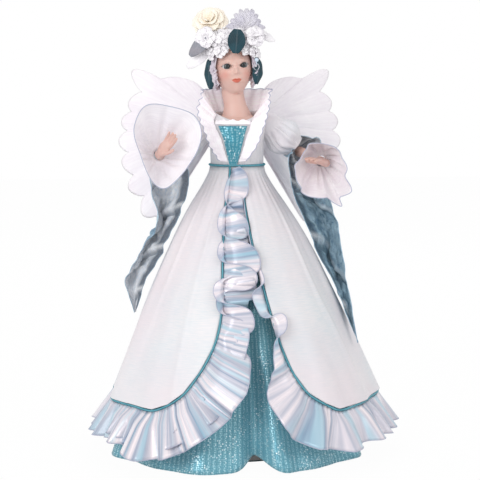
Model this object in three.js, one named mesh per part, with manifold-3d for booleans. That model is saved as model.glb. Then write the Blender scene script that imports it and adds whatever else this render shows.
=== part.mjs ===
// A porcelain angel figure for the holidays: a bisque shoulder head and bisque hands on a stuffed,
// wired body, dressed in a gown with hanging sleeves, and standing on a weighted post under the skirts.
// Millimetres, +Z up, the figure faces -Y and +X is the figure's own left. The origin is the middle of
// the felt under the stand.
import * as THREE from 'three';
import { mergeVertices } from 'three/addons/utils/BufferGeometryUtils.js';
import Module from 'manifold-3d';

const wasm = await Module();
wasm.setup();

// Driving dimensions
const FIT = 0.4; // clearance between pieces that touch
const CLOTH = 1.4; // thickness of a gown fabric with its lining
const SHEER = 1.0; // thickness of a sheer fabric with its rolled edge

const FELT = { radius: 72, thickness: 2 };
const BASE = { radius: 75, thickness: 14, edge: 3 };
const POST = { radius: 4.5, length: 285, depthInBase: 9 };
const SCREW = { radius: 1.6, headRadius: 3.6, headHeight: 2, length: 14 };

const WAIST_Z = 292;
const WAIST = { halfWidth: 24.5, halfDepth: 20.5 };
const BUST = { z: 318, halfWidth: 25, halfDepth: 23.5 };
const SHOULDER = { z: 338, halfWidth: 29, halfDepth: 18 };
const HIP = { z: 262, halfWidth: 22, halfDepth: 20 };
const BACK_SHARE = 0.85; // the back is flatter than the front
const NECKLINE_Z = 342;
const NECK_HOLE = { z: NECKLINE_Z + 4, halfWidth: 20, halfDepth: 16 };
const PLATE_Z = 324; // where the stuffed torso ends and the porcelain shoulder plate starts

// The neck widens below slimZ to its root, and leans between baseZ and topZ.
const NECK = { radius: 11.3, rootRadius: 16, rootZ: 340, slimZ: 359, deepShare: 0.84, baseZ: 344, topZ: 372 };
const HEAD = { x: -4.5, y: -2, z: 393, halfWidth: 19.5, halfDepth: 22.5, halfHeight: 28 };
const HEAD_TURN = 4; // degrees towards the figure's left
const HEAD_TILT = 5; // degrees, crown towards the figure's right
const SKULL_WALL = 3.5;
const CROWN_CUT = 15; // height of the open crown above the middle of the head
const EYE = { radius: 4.6, spacing: 17, height: 2.5, setBack: 15.2 };

// The hoop hangs under a pearl by the left temple.
const HOOP = { x: 18, y: -20, z: 394.5, radius: 3.3, wire: 0.45, eye: 1.4, pearl: 2.2, narrow: 0.8 };

const CONE = { topRadius: 25, hemRadius: 90, hemZ: 20, wall: 1.8 }; // its top plate is under the torso
const UNDERSKIRT = { topRadius: 24, hemRadius: 135, topZ: 287, hemZ: 1.2, folds: 6 };
const OVERSKIRT = { topRadius: 28, hemRadius: 131, topZ: 288.5, hemZ: 61, folds: 4, lean: 6 };
const CLEFT = { angle: 5, width: 6.5, depth: 26, lift: 13 }; // the deep fold at the underskirt's front
const OVERSKIRT_ROWS = 10;
const SKIRT_BELL = 0.85; // under 1 the skirts swell like a bell
// Front opening: share of the way down the overskirt, then degrees from the front on each side.
const OPENING = [
  { down: 0, right: 22, left: 7 },
  { down: 0.15, right: 21, left: 6.5 },
  { down: 0.3, right: 18, left: 9 },
  { down: 0.45, right: 16, left: 12.5 },
  { down: 0.6, right: 14.5, left: 15.5 },
  { down: 0.72, right: 17, left: 18 },
  { down: 0.83, right: 23, left: 21.5 },
  { down: 0.92, right: 29.5, left: 27 },
  { down: 0.97, right: 36, left: 34 },
  { down: 1, right: 44, left: 40 },
];
// Fills are how much of the front opening each front ruffle covers.
const RUFFLE = { width: 52, flare: 26, wave: 7, pitch: 27, fillRight: 0.64, fillLeft: 0.26, start: 0.03 };
const RUFFLE_SPLIT = 66; // degrees from the front where the front ruffles end
const PIPING_RADIUS = 1.5;
const WAIST_CORD_RADIUS = 1.7;

const BALL_RADIUS = 12.5; // padded ball of each sleeve head, which turns in the armhole
const UPPER_ARM_RADIUS = 6.6;
const ARM_WIRE_RADIUS = 1.1;
const FOREARM = { elbowRadius: 5.5, wristRadius: 4.6 };
const PUFF = { radius: 18.5, elbowRadius: 12 };
const CUFF = { wristRadius: 5.7, along: 0.8, frill: 1.4, frills: 9 }; // along is its place on the forearm
const SLEEVE = { above: 10, from: -105, to: -350, tipSpread: 1.5 }; // seam round the arm, degrees
const HAND = {
  palm: [11, 6.2, 3.4], fingers: [15, 17, 15.5, 12],
  pitch: 2.9, fingerRadius: 1.7, thumbRadius: 1.9,
};
const ELBOW_GAP = 9; // how far the puffed sleeve stops short of the elbow

const WING = { rootX: 9, rootY: 28.5, rootZ: 333, sweep: 27, thickness: 5 };
const BRACKET = { width: 30, height: 26, thickness: 3 };
const HINGE = { pinRadius: 1.2, socketRadius: 3, web: 4, top: 4, low: -12 };
// Outline of a wing in its own plane: distance out from the hinge, and height from the hinge. Each feather
// runs from the notch before it, over its tip, to its own notch.
const WING_ROOT = { top: [10, 10], low: [10, -8] };
const WING_LEAD = [[24, 37], [35, 45.5], [57, 51], [75, 49]];
const WING_FEATHERS = [
  { tip: [107, 58], notch: [97, 35] },
  { tip: [112, 25], notch: [108, 14] },
  { tip: [121, 4], notch: [113, -7] },
  { tip: [124.5, -18.5], notch: [112, -30] },
  { tip: [121, -42], notch: [106, -54] },
  { tip: [113, -69], notch: [95, -76] },
  { tip: [97, -96], notch: [80, -96] },
  { tip: [76, -103], notch: [68, -86] },
];
const WING_TRAIL = [[46, -48], [26, -22]];
const WING_WIRE = [[1, 9], [6, 13], [30, 14], [70, 15]]; // from the hinge pin out into the wing

// Trimmings of the bodice, turned towards the figure's right. Angles are in degrees from the front.
const TRIM_TURN = -12;
const STOMACHER = { lowHalf: 7, topHalf: 27, rise: 6, drop: 7 }; // rise from the waist, drop from the top
const LACE_BAND = { half: 34, drop: 5.5, width: 4.5, scallop: 0.8, scallops: 18 };
const COLLAR = { pleats: 24, pleatDepth: 1.3, clear: 1 };
// The collar from the waist up one side of the front and round the neck: lift is its distance off the body,
// and spread how far it lies aside.
const COLLAR_STATIONS = [
  { angle: 9, z: WAIST_Z + 7, lift: 4, width: 9, spread: 0.9 },
  { angle: 19, z: BUST.z - 4, lift: 4, width: 15, spread: 1 },
  { angle: 28, z: BUST.z + 12, lift: 5.6, width: 18, spread: 1 },
  { angle: 40, z: NECKLINE_Z, lift: 5.6, width: 22, spread: 0.8 },
  { angle: 72, z: NECKLINE_Z + 5, lift: 4, width: 26, spread: 0.3 },
  { angle: 120, z: NECKLINE_Z + 6, lift: 4, width: 25, spread: 0.1 },
  { angle: 180, z: NECKLINE_Z + 6.5, lift: 4, width: 24, spread: 0 },
];

// Flowers, leaves and loose petals of the headdress
const HAIR_DEPTH = { side: 4.5, back: 5.5, top: 5 };
const FACE_OPENING = { halfWidth: 16.8, halfHeight: 27, low: -10, reach: 50, front: -33, chin: -19 };
const WREATH = { x: 1, y: 4, z: 30, halfWidth: 34, halfDepth: 29, halfHeight: 14, low: 17 };
const ROSE = {
  centre: [-28, -4, 443], facing: [-0.25, -0.7, 0.7], radius: 17.5, depth: 11, petals: 5, notch: 0.16,
};
const LILY = {
  centre: [8, -8, 438], facing: [0.15, -1, 0.5], radius: 21, depth: 11, petals: 6, notch: 0.42,
};
const BLADES = {
  leaf_front: { root: [-2, -25, 432], tip: [-4, -29, 405], facing: [0, -1, 0], width: 17, leaf: true },
  leaf_right_upper: { root: [-30, -18, 424], tip: [-49, -12, 406], facing: [-0.4, -1, 0.2], width: 14 },
  leaf_right_lower: { root: [-29, -8, 402], tip: [-28, -9, 372], facing: [-1, -1, 0], width: 11, leaf: true },
  leaf_left: { root: [20.2, -7, 404], tip: [19, -11, 377], facing: [0.75, -0.66, 0], width: 12, leaf: true },
  petal_right: { root: [-29, -7, 411], tip: [-51, -4, 394], facing: [-0.3, -1, 0.3], width: 13 },
  petal_left: { root: [20, -10, 428], tip: [38, -8, 421], facing: [0.2, -1, 0.4], width: 9 },
};
const FLORET = {
  radius: 5,
  forehead: [[-14, -22, 411], [-21, -20, 410], [-27, -15, 408]],
  temple: [[5, -22, 413], [11, -20, 411], [17, -16, 408]],
};

// Arms, in the figure's frame: shoulder, elbow and wrist, where the fingers point and the back of the hand
// faces, the rim of the sheer cuff, and the edges and the back of the hanging sleeve from the elbow down.
const ARMS = {
  right: {
    side: -1,
    shoulder: [-34, 3, 333],
    elbow: [-77, 11, 303],
    wrist: [-82, -44, 308],
    fingers: [0.5, -0.55, 0.66],
    palm: [0.6, 0.75, 0.05],
    rim: {
      centre: [-74, -70, 317],
      across: [1, 0, 0],
      up: [0, 0, 1],
      outline: [
        [-33, 19], [-27, -8], [-14, -36], [-3, -41], [24, -13], [33, 12], [27, 29], [11, 37], [-21, 40],
      ],
    },
    sleeve: {
      inner: [[-58, -7, 299], [-54, -3, 272], [-67, 8, 236], [-80, 16, 206], [-97, 24, 174]],
      back: [[-74, 30, 290], [-74, 36, 268], [-77, 40, 236], [-90, 38, 206], [-106, 38, 176]],
      outer: [[-96, 6, 312], [-91, 8, 280], [-83, 12, 238], [-98, 20, 206], [-115, 24, 177]],
      tip: { z: 139, angle: 104, gap: 8 },
    },
  },
  left: {
    side: 1,
    shoulder: [34, 3, 335],
    elbow: [66, 10, 307],
    wrist: [87, -36, 298],
    fingers: [-0.62, -0.76, 0.22],
    palm: [0.25, 0.1, 0.95],
    rim: {
      centre: [83, -60, 288],
      across: [1, -0.11, 0.07],
      up: [-0.06, 0.1, 1],
      outline: [
        [-29, 1], [-25, -18], [-5, -24], [12, -28], [16, -33], [22, -18], [20, 14], [6, 29], [-18, 28],
      ],
    },
    sleeve: {
      inner: [[52, -16, 308], [52, -13, 284], [68, -10, 236], [95, -17, 176]],
      back: [[64, 28, 298], [74, 34, 276], [92, 36, 236], [106, 20, 176]],
      outer: [[86, 4, 320], [90, -2, 290], [103, -6, 240], [114, -10, 178]],
      tip: { z: 114, angle: 74, gap: 7 },
    },
  },
};

const vec = (x, y, z) => new THREE.Vector3(x, y, z);
const radians = THREE.MathUtils.degToRad;
const lerp = THREE.MathUtils.lerp;
const clamp = THREE.MathUtils.clamp;
const smooth = (t) => THREE.MathUtils.smoothstep(t, 0, 1);
const bump = (x, width) => Math.exp(-((x / width) ** 2));

// Materials
function finish(color, roughness, metalness = 0) {
  return new THREE.MeshStandardMaterial({ color, roughness, metalness });
}

const BISQUE = finish(0xe2c2b4, 0.45);
const GLASS = finish(0x4f8f98, 0.08);
const WOOD = finish(0x7a5a3c, 0.6);
const FELT_CLOTH = finish(0x2f4a3c, 0.95);
const STEEL = finish(0xb4b8bc, 0.35, 1);
const CALICO = finish(0xe9e2d4, 0.9);
const BUCKRAM = finish(0xf1efe8, 0.95);
const SATIN = finish(0xe9ebf0, 0.5);
const SEQUIN = finish(0x5aa0ae, 0.3, 0.3);
const LAME = finish(0x8fb0c8, 0.3, 0.5);
const ORGANZA = finish(0xe4dfe8, 0.4);
const CORD = finish(0x3f8fa2, 0.5);
const LACE = finish(0xf6f6f8, 0.8);
const HAIR = finish(0xd9d2d6, 0.7);
const PETAL = finish(0xefeaf0, 0.6);
const CREAM = finish(0xf8ecd6, 0.6);
const LEAF = finish(0x27525a, 0.5);
const PEARL = finish(0xd5e0ea, 0.2);
const PLUSH = finish(0xe9e2ec, 0.95);

// Geometry helpers

function welded(geometry) {
  const bare = geometry.clone();
  bare.deleteAttribute('normal');
  bare.deleteAttribute('uv');
  return mergeVertices(bare, 1e-4);
}

// A welded copy whose faces point out.
function outward(geometry) {
  const g = welded(geometry);
  const p = g.attributes.position;
  const index = g.index.array;
  const [a, b, c] = [vec(), vec(), vec()];
  let volume = 0;
  for (let i = 0; i < index.length; i += 3) {
    a.fromBufferAttribute(p, index[i]);
    b.fromBufferAttribute(p, index[i + 1]);
    c.fromBufferAttribute(p, index[i + 2]);
    volume += a.dot(b.cross(c));
  }
  if (volume < 0) {
    for (let i = 0; i < index.length; i += 3) {
      [index[i + 1], index[i + 2]] = [index[i + 2], index[i + 1]];
    }
  }
  return g;
}

function solid(geometry) {
  const g = outward(geometry);
  const vertProperties = new Float32Array(g.attributes.position.array);
  const triVerts = new Uint32Array(g.index.array);
  return new wasm.Manifold(new wasm.Mesh({ numProp: 3, vertProperties, triVerts }));
}

function geometryOf(manifold) {
  const mesh = manifold.getMesh();
  const g = new THREE.BufferGeometry();
  g.setAttribute('position', new THREE.BufferAttribute(new Float32Array(mesh.vertProperties), 3));
  g.setIndex(new THREE.BufferAttribute(new Uint32Array(mesh.triVerts), 1));
  return g;
}

// Every vertex of a geometry put through a function.
function mapped(geometry, place) {
  const g = welded(geometry);
  const p = g.attributes.position;
  const v = vec();
  for (let i = 0; i < p.count; i++) {
    v.fromBufferAttribute(p, i);
    const q = place(v);
    p.setXYZ(i, q.x, q.y, q.z);
  }
  return outward(g);
}

// The unit normal of a surface at(u, v), measured by small steps.
function normalAt(at, u, v) {
  const step = 1e-3;
  const du = at(Math.min(u + step, 1), v).sub(at(Math.max(u - step, 0), v));
  const dv = at(u, Math.min(v + step, 1)).sub(at(u, Math.max(v - step, 0)));
  return du.cross(dv).normalize();
}

// Turns the diagonals of a run of square cells, so that both sides of thin cloth bend along the same lines.
function turnDiagonals(index, start, end) {
  for (let i = start; i < end; i += 6) {
    const corners = index.slice(i, i + 6);
    const [a, b, d] = corners;
    const c = corners.find((corner) => corner !== a && corner !== b && corner !== d);
    index.set([a, b, c, a, c, d], i);
  }
}

// A piece of cloth: a thin box bent to the surface at(u, v), with u and v from 0 to 1.
function sheet(at, across, along, thickness) {
  const box = new THREE.BoxGeometry(1, 1, 1, across, along, 1);
  const back = box.groups[5];
  turnDiagonals(box.index.array, back.start, back.start + back.count);
  return mapped(box, (p) => {
    const [u, v] = [p.x + 0.5, p.y + 0.5];
    return at(u, v).addScaledVector(normalAt(at, u, v), p.z * thickness);
  });
}

// Cloth that closes on itself round u: a ring of rectangular section, bent to the surface at(u, v).
function ring(at, around, along, thickness) {
  const [inner, outer] = [2, 3];
  const profile = [];
  for (let i = 0; i <= along; i++) profile.push(new THREE.Vector2(outer, i / along));
  for (let i = along; i >= 0; i--) profile.push(new THREE.Vector2(inner, i / along));
  profile.push(profile[0].clone());
  const wrapped = (u, v) => at(((u % 1) + 1) % 1, v);
  const step = 1e-3;
  const lathe = new THREE.LatheGeometry(profile, around);
  const row = 6 * (profile.length - 1);
  for (let i = 0; i < around; i++) {
    turnDiagonals(lathe.index.array, i * row + 6 * (along + 1), (i + 1) * row - 6);
  }
  return mapped(lathe, (p) => {
    const u = Math.atan2(p.x, p.z) / (2 * Math.PI);
    const v = p.y;
    const side = Math.hypot(p.x, p.z) > (inner + outer) / 2 ? 0.5 : -0.5;
    const du = wrapped(u + step, v).sub(wrapped(u - step, v));
    const dv = at(((u % 1) + 1) % 1, Math.min(v + step, 1)).sub(at(((u % 1) + 1) % 1, Math.max(v - step, 0)));
    return wrapped(u, v).addScaledVector(du.cross(dv).normalize(), side * thickness);
  });
}

const smoothLine = (points, closed = false) => new THREE.CatmullRomCurve3(points, closed, 'centripetal');

// A solid through rings: at(angle, v) is on the outside, and v runs from one flat end to the other.
function loft(at, around, along) {
  const barrel = new THREE.CylinderGeometry(1, 1, 1, around, along);
  const middle = (v) => {
    const sum = vec();
    for (let i = 0; i < 4; i++) sum.add(at((i * Math.PI) / 2, v));
    return sum.divideScalar(4);
  };
  return mapped(barrel, (p) => {
    const v = p.y + 0.5;
    if (Math.hypot(p.x, p.z) < 0.5) return middle(v);
    return at(Math.atan2(p.x, p.z), v);
  });
}

function tube(points, radius, steps, sides) {
  const section = new THREE.Shape();
  for (let i = 0; i < sides; i++) {
    const a = (2 * Math.PI * i) / sides;
    const [x, y] = [radius * Math.cos(a), radius * Math.sin(a)];
    if (i) section.lineTo(x, y);
    else section.moveTo(x, y);
  }
  const path = smoothLine(points);
  return outward(new THREE.ExtrudeGeometry(section, { steps, extrudePath: path, bevelEnabled: false }));
}

// A round solid about the Z axis from [radius, z] points.
function turned(profile, segments) {
  const points = profile.map(([r, z]) => new THREE.Vector2(r, z));
  return outward(new THREE.LatheGeometry(points, segments).rotateX(Math.PI / 2));
}

function ball(radius, [x, y, z], wide = 12, high = 8) {
  return new THREE.SphereGeometry(radius, wide, high).translate(x, y, z);
}

const angel = new THREE.Group();

function add(name, geometry, material) {
  const mesh = new THREE.Mesh(outward(geometry), material);
  mesh.name = name;
  angel.add(mesh);
}

// Stand: felt, wooden base, post and the screw that holds the post

function makeStand() {
  const baseTop = FELT.thickness + FIT + BASE.thickness;
  const baseLow = FELT.thickness + FIT;
  const { radius, edge } = BASE;
  add('base_felt', turned([
    [0, 0], [FELT.radius, 0], [FELT.radius, FELT.thickness], [0, FELT.thickness],
  ], 28), FELT_CLOTH);

  const postLow = baseTop - POST.depthInBase;
  const hole = POST.radius + FIT;
  const screwHole = SCREW.radius + FIT;
  const sink = SCREW.headRadius + FIT;
  const sinkTop = baseLow + SCREW.headHeight + FIT;
  add('stand_base', turned([
    [sink, baseLow], [radius, baseLow], [radius, baseTop - edge], [radius - edge, baseTop], [hole, baseTop],
    [hole, postLow - FIT], [screwHole, postLow - FIT], [screwHole, sinkTop], [sink, sinkTop], [sink, baseLow],
  ], 28), WOOD);

  const tap = postLow + SCREW.length - (postLow - baseLow);
  const postTop = postLow + POST.length;
  add('stand_post', turned([
    [screwHole, postLow], [POST.radius, postLow], [POST.radius, postTop - 1], [POST.radius - 1, postTop],
    [0, postTop], [0, tap + FIT], [screwHole, tap + FIT], [screwHole, postLow],
  ], 16), STEEL);

  add('base_screw', turned([
    [0, baseLow], [SCREW.headRadius, baseLow], [SCREW.headRadius, baseLow + SCREW.headHeight],
    [SCREW.radius, baseLow + SCREW.headHeight], [SCREW.radius, baseLow + SCREW.length],
    [0, baseLow + SCREW.length],
  ], 12), STEEL);
  return { postTop };
}

// Body: ellipses from the hips to the shoulders, with the armholes cut by the sleeve heads

const BODY_STATIONS = [HIP, { z: WAIST_Z, ...WAIST }, BUST, SHOULDER, NECK_HOLE];

// Half width and half depth of the bare body at a height, grown by a clearance.
function bodyAt(z, grow = 0) {
  const s = BODY_STATIONS;
  let i = 0;
  while (i < s.length - 2 && z > s[i + 1].z) i++;
  const t = smooth(clamp((z - s[i].z) / (s[i + 1].z - s[i].z), 0, 1));
  const [low, high] = [s[i], s[i + 1]];
  return [lerp(low.halfWidth, high.halfWidth, t) + grow, lerp(low.halfDepth, high.halfDepth, t) + grow];
}

// A point on the body at an angle from the front, positive towards the figure's left.
function onBody(angle, z, grow = 0) {
  const [w, d] = bodyAt(z, grow);
  const deep = Math.cos(angle) < 0 ? (d - grow) * BACK_SHARE + grow : d;
  return vec(w * Math.sin(angle), -deep * Math.cos(angle), z);
}

const bodyLoft = (low, high, grow, around, along) =>
  loft((a, v) => onBody(Math.PI - a, lerp(low, high, v), grow), around, along);

function armholes(radius) {
  return Object.values(ARMS).map((arm) => solid(ball(radius, arm.shoulder, 14, 8)));
}

const cutBy = (base, cutters) => cutters.reduce((rest, cutter) => rest.subtract(cutter), base);

function makeBody(postTop) {
  const socket = solid(new THREE.CylinderGeometry(POST.radius + FIT, POST.radius + FIT, postTop + FIT, 16)
    .rotateX(Math.PI / 2).translate(0, 0, (postTop + FIT) / 2));
  const cushion = solid(bodyLoft(HIP.z, PLATE_Z, 0, 20, 5));
  const torso = cutBy(cushion.subtract(socket), armholes(BALL_RADIUS + 2 * FIT));
  add('torso', geometryOf(torso), CALICO);
}

// Skirts

// Radius of a skirt at a height, from its gathered top to its hem.
function skirtRadius(skirt, z) {
  const s = clamp((skirt.topZ - z) / (skirt.topZ - skirt.hemZ), 0, 1);
  return lerp(skirt.topRadius, skirt.hemRadius, s ** SKIRT_BELL);
}

const polar = (radius, angle, z) => vec(radius * Math.sin(angle), -radius * Math.cos(angle), z);

// A point of a skirt drawn in to the body at the waistband: share runs from 0 at the waist to 1 at the hem.
function drawnIn(point, angle, share, ease) {
  return point.lerp(onBody(angle, point.z, ease), (1 - share) ** 14);
}

const UNDERSKIRT_EASE = FIT + CLOTH / 2 + 0.2;
const OVERSKIRT_EASE = UNDERSKIRT_EASE + CLOTH + FIT;

// Broad hanging folds, deepest at the hem: share runs from 0 at the waist to 1 at the hem.
const hangingFolds = (angle, share, count, phase) =>
  share * (0.6 * Math.cos(count * angle + phase) + 0.4 * Math.cos((count * 2 - 3) * angle - 2 * phase));

function makeSkirtCone() {
  const { topRadius, hemRadius, hemZ, wall } = CONE;
  const topZ = HIP.z - FIT;
  const hole = POST.radius + FIT;
  add('skirt_cone', turned([
    [hole, topZ], [topRadius, topZ], [hemRadius, hemZ], [hemRadius - wall, hemZ],
    [topRadius - wall, topZ - wall], [hole, topZ - wall], [hole, topZ],
  ], 28), BUCKRAM);
}

function makeUnderskirt() {
  const cleft = { ...CLEFT, angle: radians(CLEFT.angle), width: radians(CLEFT.width) };
  const at = (u, v) => {
    const angle = u * 2 * Math.PI;
    const turn = Math.atan2(Math.sin(angle - cleft.angle), Math.cos(angle - cleft.angle));
    const inCleft = bump(turn, cleft.width) * v ** 3;
    const lift = cleft.lift * bump(turn, cleft.width) * v ** 12;
    const z = lerp(UNDERSKIRT.topZ, UNDERSKIRT.hemZ, v) + lift;
    const folds = UNDERSKIRT.folds * hangingFolds(angle, v, 8, -2.2);
    const radius = skirtRadius(UNDERSKIRT, z) + folds - UNDERSKIRT.folds * v - cleft.depth * inCleft;
    return drawnIn(polar(radius, angle, z), angle, v, UNDERSKIRT_EASE);
  };
  add('underskirt', ring(at, 48, 5, CLOTH), SEQUIN);
}

// The overskirt's front edge, in radians from the front, at a height. side is -1 on the figure's right.
function openingAngle(side, z) {
  const share = overskirtShare(z);
  const next = Math.max(1, OPENING.findIndex(({ down }) => down >= share));
  const [above, below] = [OPENING[next - 1], OPENING[next]];
  const word = side < 0 ? 'right' : 'left';
  const t = (share - above.down) / (below.down - above.down);
  return radians(lerp(above[word], below[word], t));
}

// How far down the overskirt a height is: 0 at the waist, 1 at the hem.
const overskirtShare = (z) => clamp((OVERSKIRT.topZ - z) / (OVERSKIRT.topZ - OVERSKIRT.hemZ), 0, 1);

// Radius of the overskirt before its folds: it stands out further on the figure's left.
const overskirtRadius = (angle, z) =>
  skirtRadius(OVERSKIRT, z) + OVERSKIRT.lean * overskirtShare(z) * (1 + Math.sin(angle));

function onOverskirt(angle, z) {
  const share = overskirtShare(z);
  const folds = OVERSKIRT.folds * hangingFolds(angle, share, 7, 2.2) * smooth(1.4 * (1 - Math.cos(angle)));
  return drawnIn(polar(overskirtRadius(angle, z) + folds, angle, z), angle, share, OVERSKIRT_EASE);
}

// Heights of the overskirt's rows, closer together near the hem, where the front edges turn.
const overskirtZ = (v) => lerp(OVERSKIRT.hemZ, OVERSKIRT.topZ, (1 - v) ** 1.6);

function makeOverskirt() {
  const at = (u, v) => {
    const z = overskirtZ(v);
    const from = openingAngle(1, z);
    const to = 2 * Math.PI - openingAngle(-1, z);
    return onOverskirt(lerp(from, to, u), z);
  };
  add('overskirt', sheet(at, 36, OVERSKIRT_ROWS, CLOTH), SATIN);
}

// The sewn edge of the overskirt: down a front edge, then along the hem to the split with the back ruffle.
function frontSeam(side) {
  const low = OVERSKIRT.hemZ;
  const points = [];
  for (let i = 0; i <= OVERSKIRT_ROWS; i++) {
    const z = overskirtZ(i / OVERSKIRT_ROWS);
    points.push([side * openingAngle(side, z), z]);
  }
  const last = Math.abs(points[OVERSKIRT_ROWS][0]);
  points.push([side * lerp(last, radians(RUFFLE_SPLIT), 0.5), low]);
  points.push([side * radians(RUFFLE_SPLIT), low]);
  const curve = smoothLine(points.map(([a, z]) => vec(a * OVERSKIRT.hemRadius, z, 0)));
  return (t) => curve.getPoint(t).divide(vec(OVERSKIRT.hemRadius, 1, 1));
}

// A ruffle sewn to the seam: seam(u) gives angle and height on the overskirt, widthAt(u) its width.
function ruffleSurface(seam, widthAt, side, waves, wavePhase) {
  return (u, v) => {
    const here = seam(u);
    const step = 2e-3;
    const [before, after] = [seam(Math.max(u - step, 0)), seam(Math.min(u + step, 1))];
    const base = onOverskirt(here.x, here.y);
    const along = onOverskirt(after.x, after.y).sub(onOverskirt(before.x, before.y)).normalize();
    const out = polar(1, here.x, 0);
    const away = along.clone().cross(out).multiplyScalar(side).normalize();
    const width = widthAt(u);
    const wave = RUFFLE.wave * (width / RUFFLE.width) * v * Math.sin(2 * Math.PI * waves * u + wavePhase);
    const flare = Math.sin(radians(RUFFLE.flare)) * width * v * clamp(-away.z, 0.18, 1);
    const reach = width * v * Math.cos(radians(RUFFLE.flare) * clamp(-away.z, 0, 1));
    return base.addScaledVector(away, 2 * (PIPING_RADIUS + FIT) + reach).addScaledVector(out, flare + wave);
  };
}

// Length of a seam on the overskirt.
function seamLength(seam, steps = 60) {
  let total = 0;
  for (let i = 0; i < steps; i++) {
    const [p, q] = [seam(i / steps), seam((i + 1) / steps)];
    total += onOverskirt(p.x, p.y).distanceTo(onOverskirt(q.x, q.y));
  }
  return total;
}

function makeRuffles() {
  for (const side of [-1, 1]) {
    const word = side < 0 ? 'right' : 'left';
    const fill = side < 0 ? RUFFLE.fillRight : RUFFLE.fillLeft;
    const edge = frontSeam(side);
    const seam = (u) => edge(lerp(RUFFLE.start, 1, u));
    const widthAt = (u) => {
      const z = seam(u).y;
      const gap = (openingAngle(-1, z) + openingAngle(1, z)) * skirtRadius(OVERSKIRT, z);
      return Math.min(RUFFLE.width, gap * fill - 2 * PIPING_RADIUS);
    };
    const waves = Math.round(seamLength(edge) / RUFFLE.pitch);
    add(`front_ruffle_${word}`, sheet(ruffleSurface(seam, widthAt, side, waves, 0), 60, 2, SHEER), ORGANZA);

    const cord = [];
    const steps = 26;
    for (let i = 0; i <= steps; i++) {
      const p = edge(i / steps);
      const q = edge(Math.min(1, i / steps + 0.01));
      const r = edge(Math.max(0, i / steps - 0.01));
      const along = onOverskirt(q.x, q.y).sub(onOverskirt(r.x, r.y)).normalize();
      const away = along.cross(polar(1, p.x, 0)).multiplyScalar(side).normalize();
      cord.push(onOverskirt(p.x, p.y).addScaledVector(away, PIPING_RADIUS + FIT));
    }
    add(`front_piping_${word}`, tube(cord, PIPING_RADIUS, 36, 5), CORD);
  }

  const split = radians(RUFFLE_SPLIT) + (3 * FIT) / OVERSKIRT.hemRadius;
  const hemSeam = (u) => vec(lerp(split, 2 * Math.PI - split, u), OVERSKIRT.hemZ, 0);
  const hemWaves = Math.round(((2 * Math.PI - 2 * split) * OVERSKIRT.hemRadius) / RUFFLE.pitch);
  const hemSurface = ruffleSurface(hemSeam, () => RUFFLE.width, 1, hemWaves, Math.PI);
  add('hem_ruffle', sheet(hemSurface, 84, 2, SHEER), ORGANZA);

  const hemCord = [];
  for (let i = 0; i <= 40; i++) {
    const p = hemSeam(i / 40);
    hemCord.push(onOverskirt(p.x, p.y).add(vec(0, 0, -PIPING_RADIUS - FIT)));
  }
  add('hem_piping', tube(hemCord, PIPING_RADIUS, 48, 5), CORD);
}

// Head: one casting with the neck and the shoulder plate, hollow, with an open crown and open eyes

// Puts a point of the upright head, measured from its middle, where the tilted head has it.
function inHead(p) {
  return p.clone()
    .applyAxisAngle(vec(0, 1, 0), radians(-HEAD_TILT))
    .applyAxisAngle(vec(0, 0, 1), radians(HEAD_TURN))
    .add(vec(HEAD.x, HEAD.y, HEAD.z));
}

// The face and skull, grown by a clearance: d is a direction from the middle of the head.
function headSurface(d, grow = 0) {
  const low = smooth(clamp(-d.z, 0, 1));
  const front = clamp(-d.y, 0, 1);
  const wide = HEAD.halfWidth * (1 - 0.3 * low) + grow;
  const deep = HEAD.halfDepth * (1 - 0.22 * low * (1 - front)) + grow;
  const p = vec(d.x * wide, d.y * deep, d.z * (HEAD.halfHeight + grow));
  if (d.y < 0) {
    const nose = bump(p.x, 2.6) * clamp((6 - p.z) / 10, 0, 1) * clamp((p.z + 7) / 2.5, 0, 1);
    const chin = bump(p.x, 7) * bump(p.z + 24, 4);
    const lips = bump(p.x, 5) * bump(p.z + 13, 3);
    const sockets = bump(Math.abs(p.x) - EYE.spacing / 2, 4.5) * bump(p.z - EYE.height, 3.5);
    p.y -= 4 * nose + 2 * chin + 1.2 * lips - 1.4 * sockets;
  }
  return p;
}

const upright = (wide, high) => new THREE.SphereGeometry(1, wide, high).rotateX(Math.PI / 2);

function skullGeometry(grow) {
  return mapped(upright(24, 16), (d) => inHead(headSurface(d.clone().normalize(), grow)));
}

// An ellipsoid in the head's own frame, from its half sizes and its middle.
function headEllipsoid(rx, ry, rz, x = 0, y = 0, z = 0, wide = 18, high = 12) {
  return mapped(upright(wide, high), (d) => inHead(vec(x + rx * d.x, y + ry * d.y, z + rz * d.z)));
}

const ABOVE_HEAD = 60;

// Everything of the head's own frame between two heights.
function headSlab(low, high) {
  const size = 160;
  const box = new THREE.BoxGeometry(size, size, high - low).translate(0, 0, (low + high) / 2);
  return solid(mapped(box, inHead));
}

// The neck leans from the middle of the shoulders to the head.
function neckGeometry(grow) {
  const lean = (z) => smooth(clamp((z - NECK.baseZ) / (NECK.topZ - NECK.baseZ), 0, 1));
  return loft((a, v) => {
    const z = lerp(PLATE_Z + 8, NECK.topZ + 6 + grow, v);
    const slim = smooth(clamp((z - NECK.rootZ) / (NECK.slimZ - NECK.rootZ), 0, 1));
    const r = lerp(NECK.rootRadius, NECK.radius, slim) + grow;
    const deep = lerp(NECK.deepShare, 1, slim);
    return vec(HEAD.x * lean(z) + r * Math.sin(a), 2 * lean(z) + deep * r * Math.cos(a), z);
  }, 16, 7);
}

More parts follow.
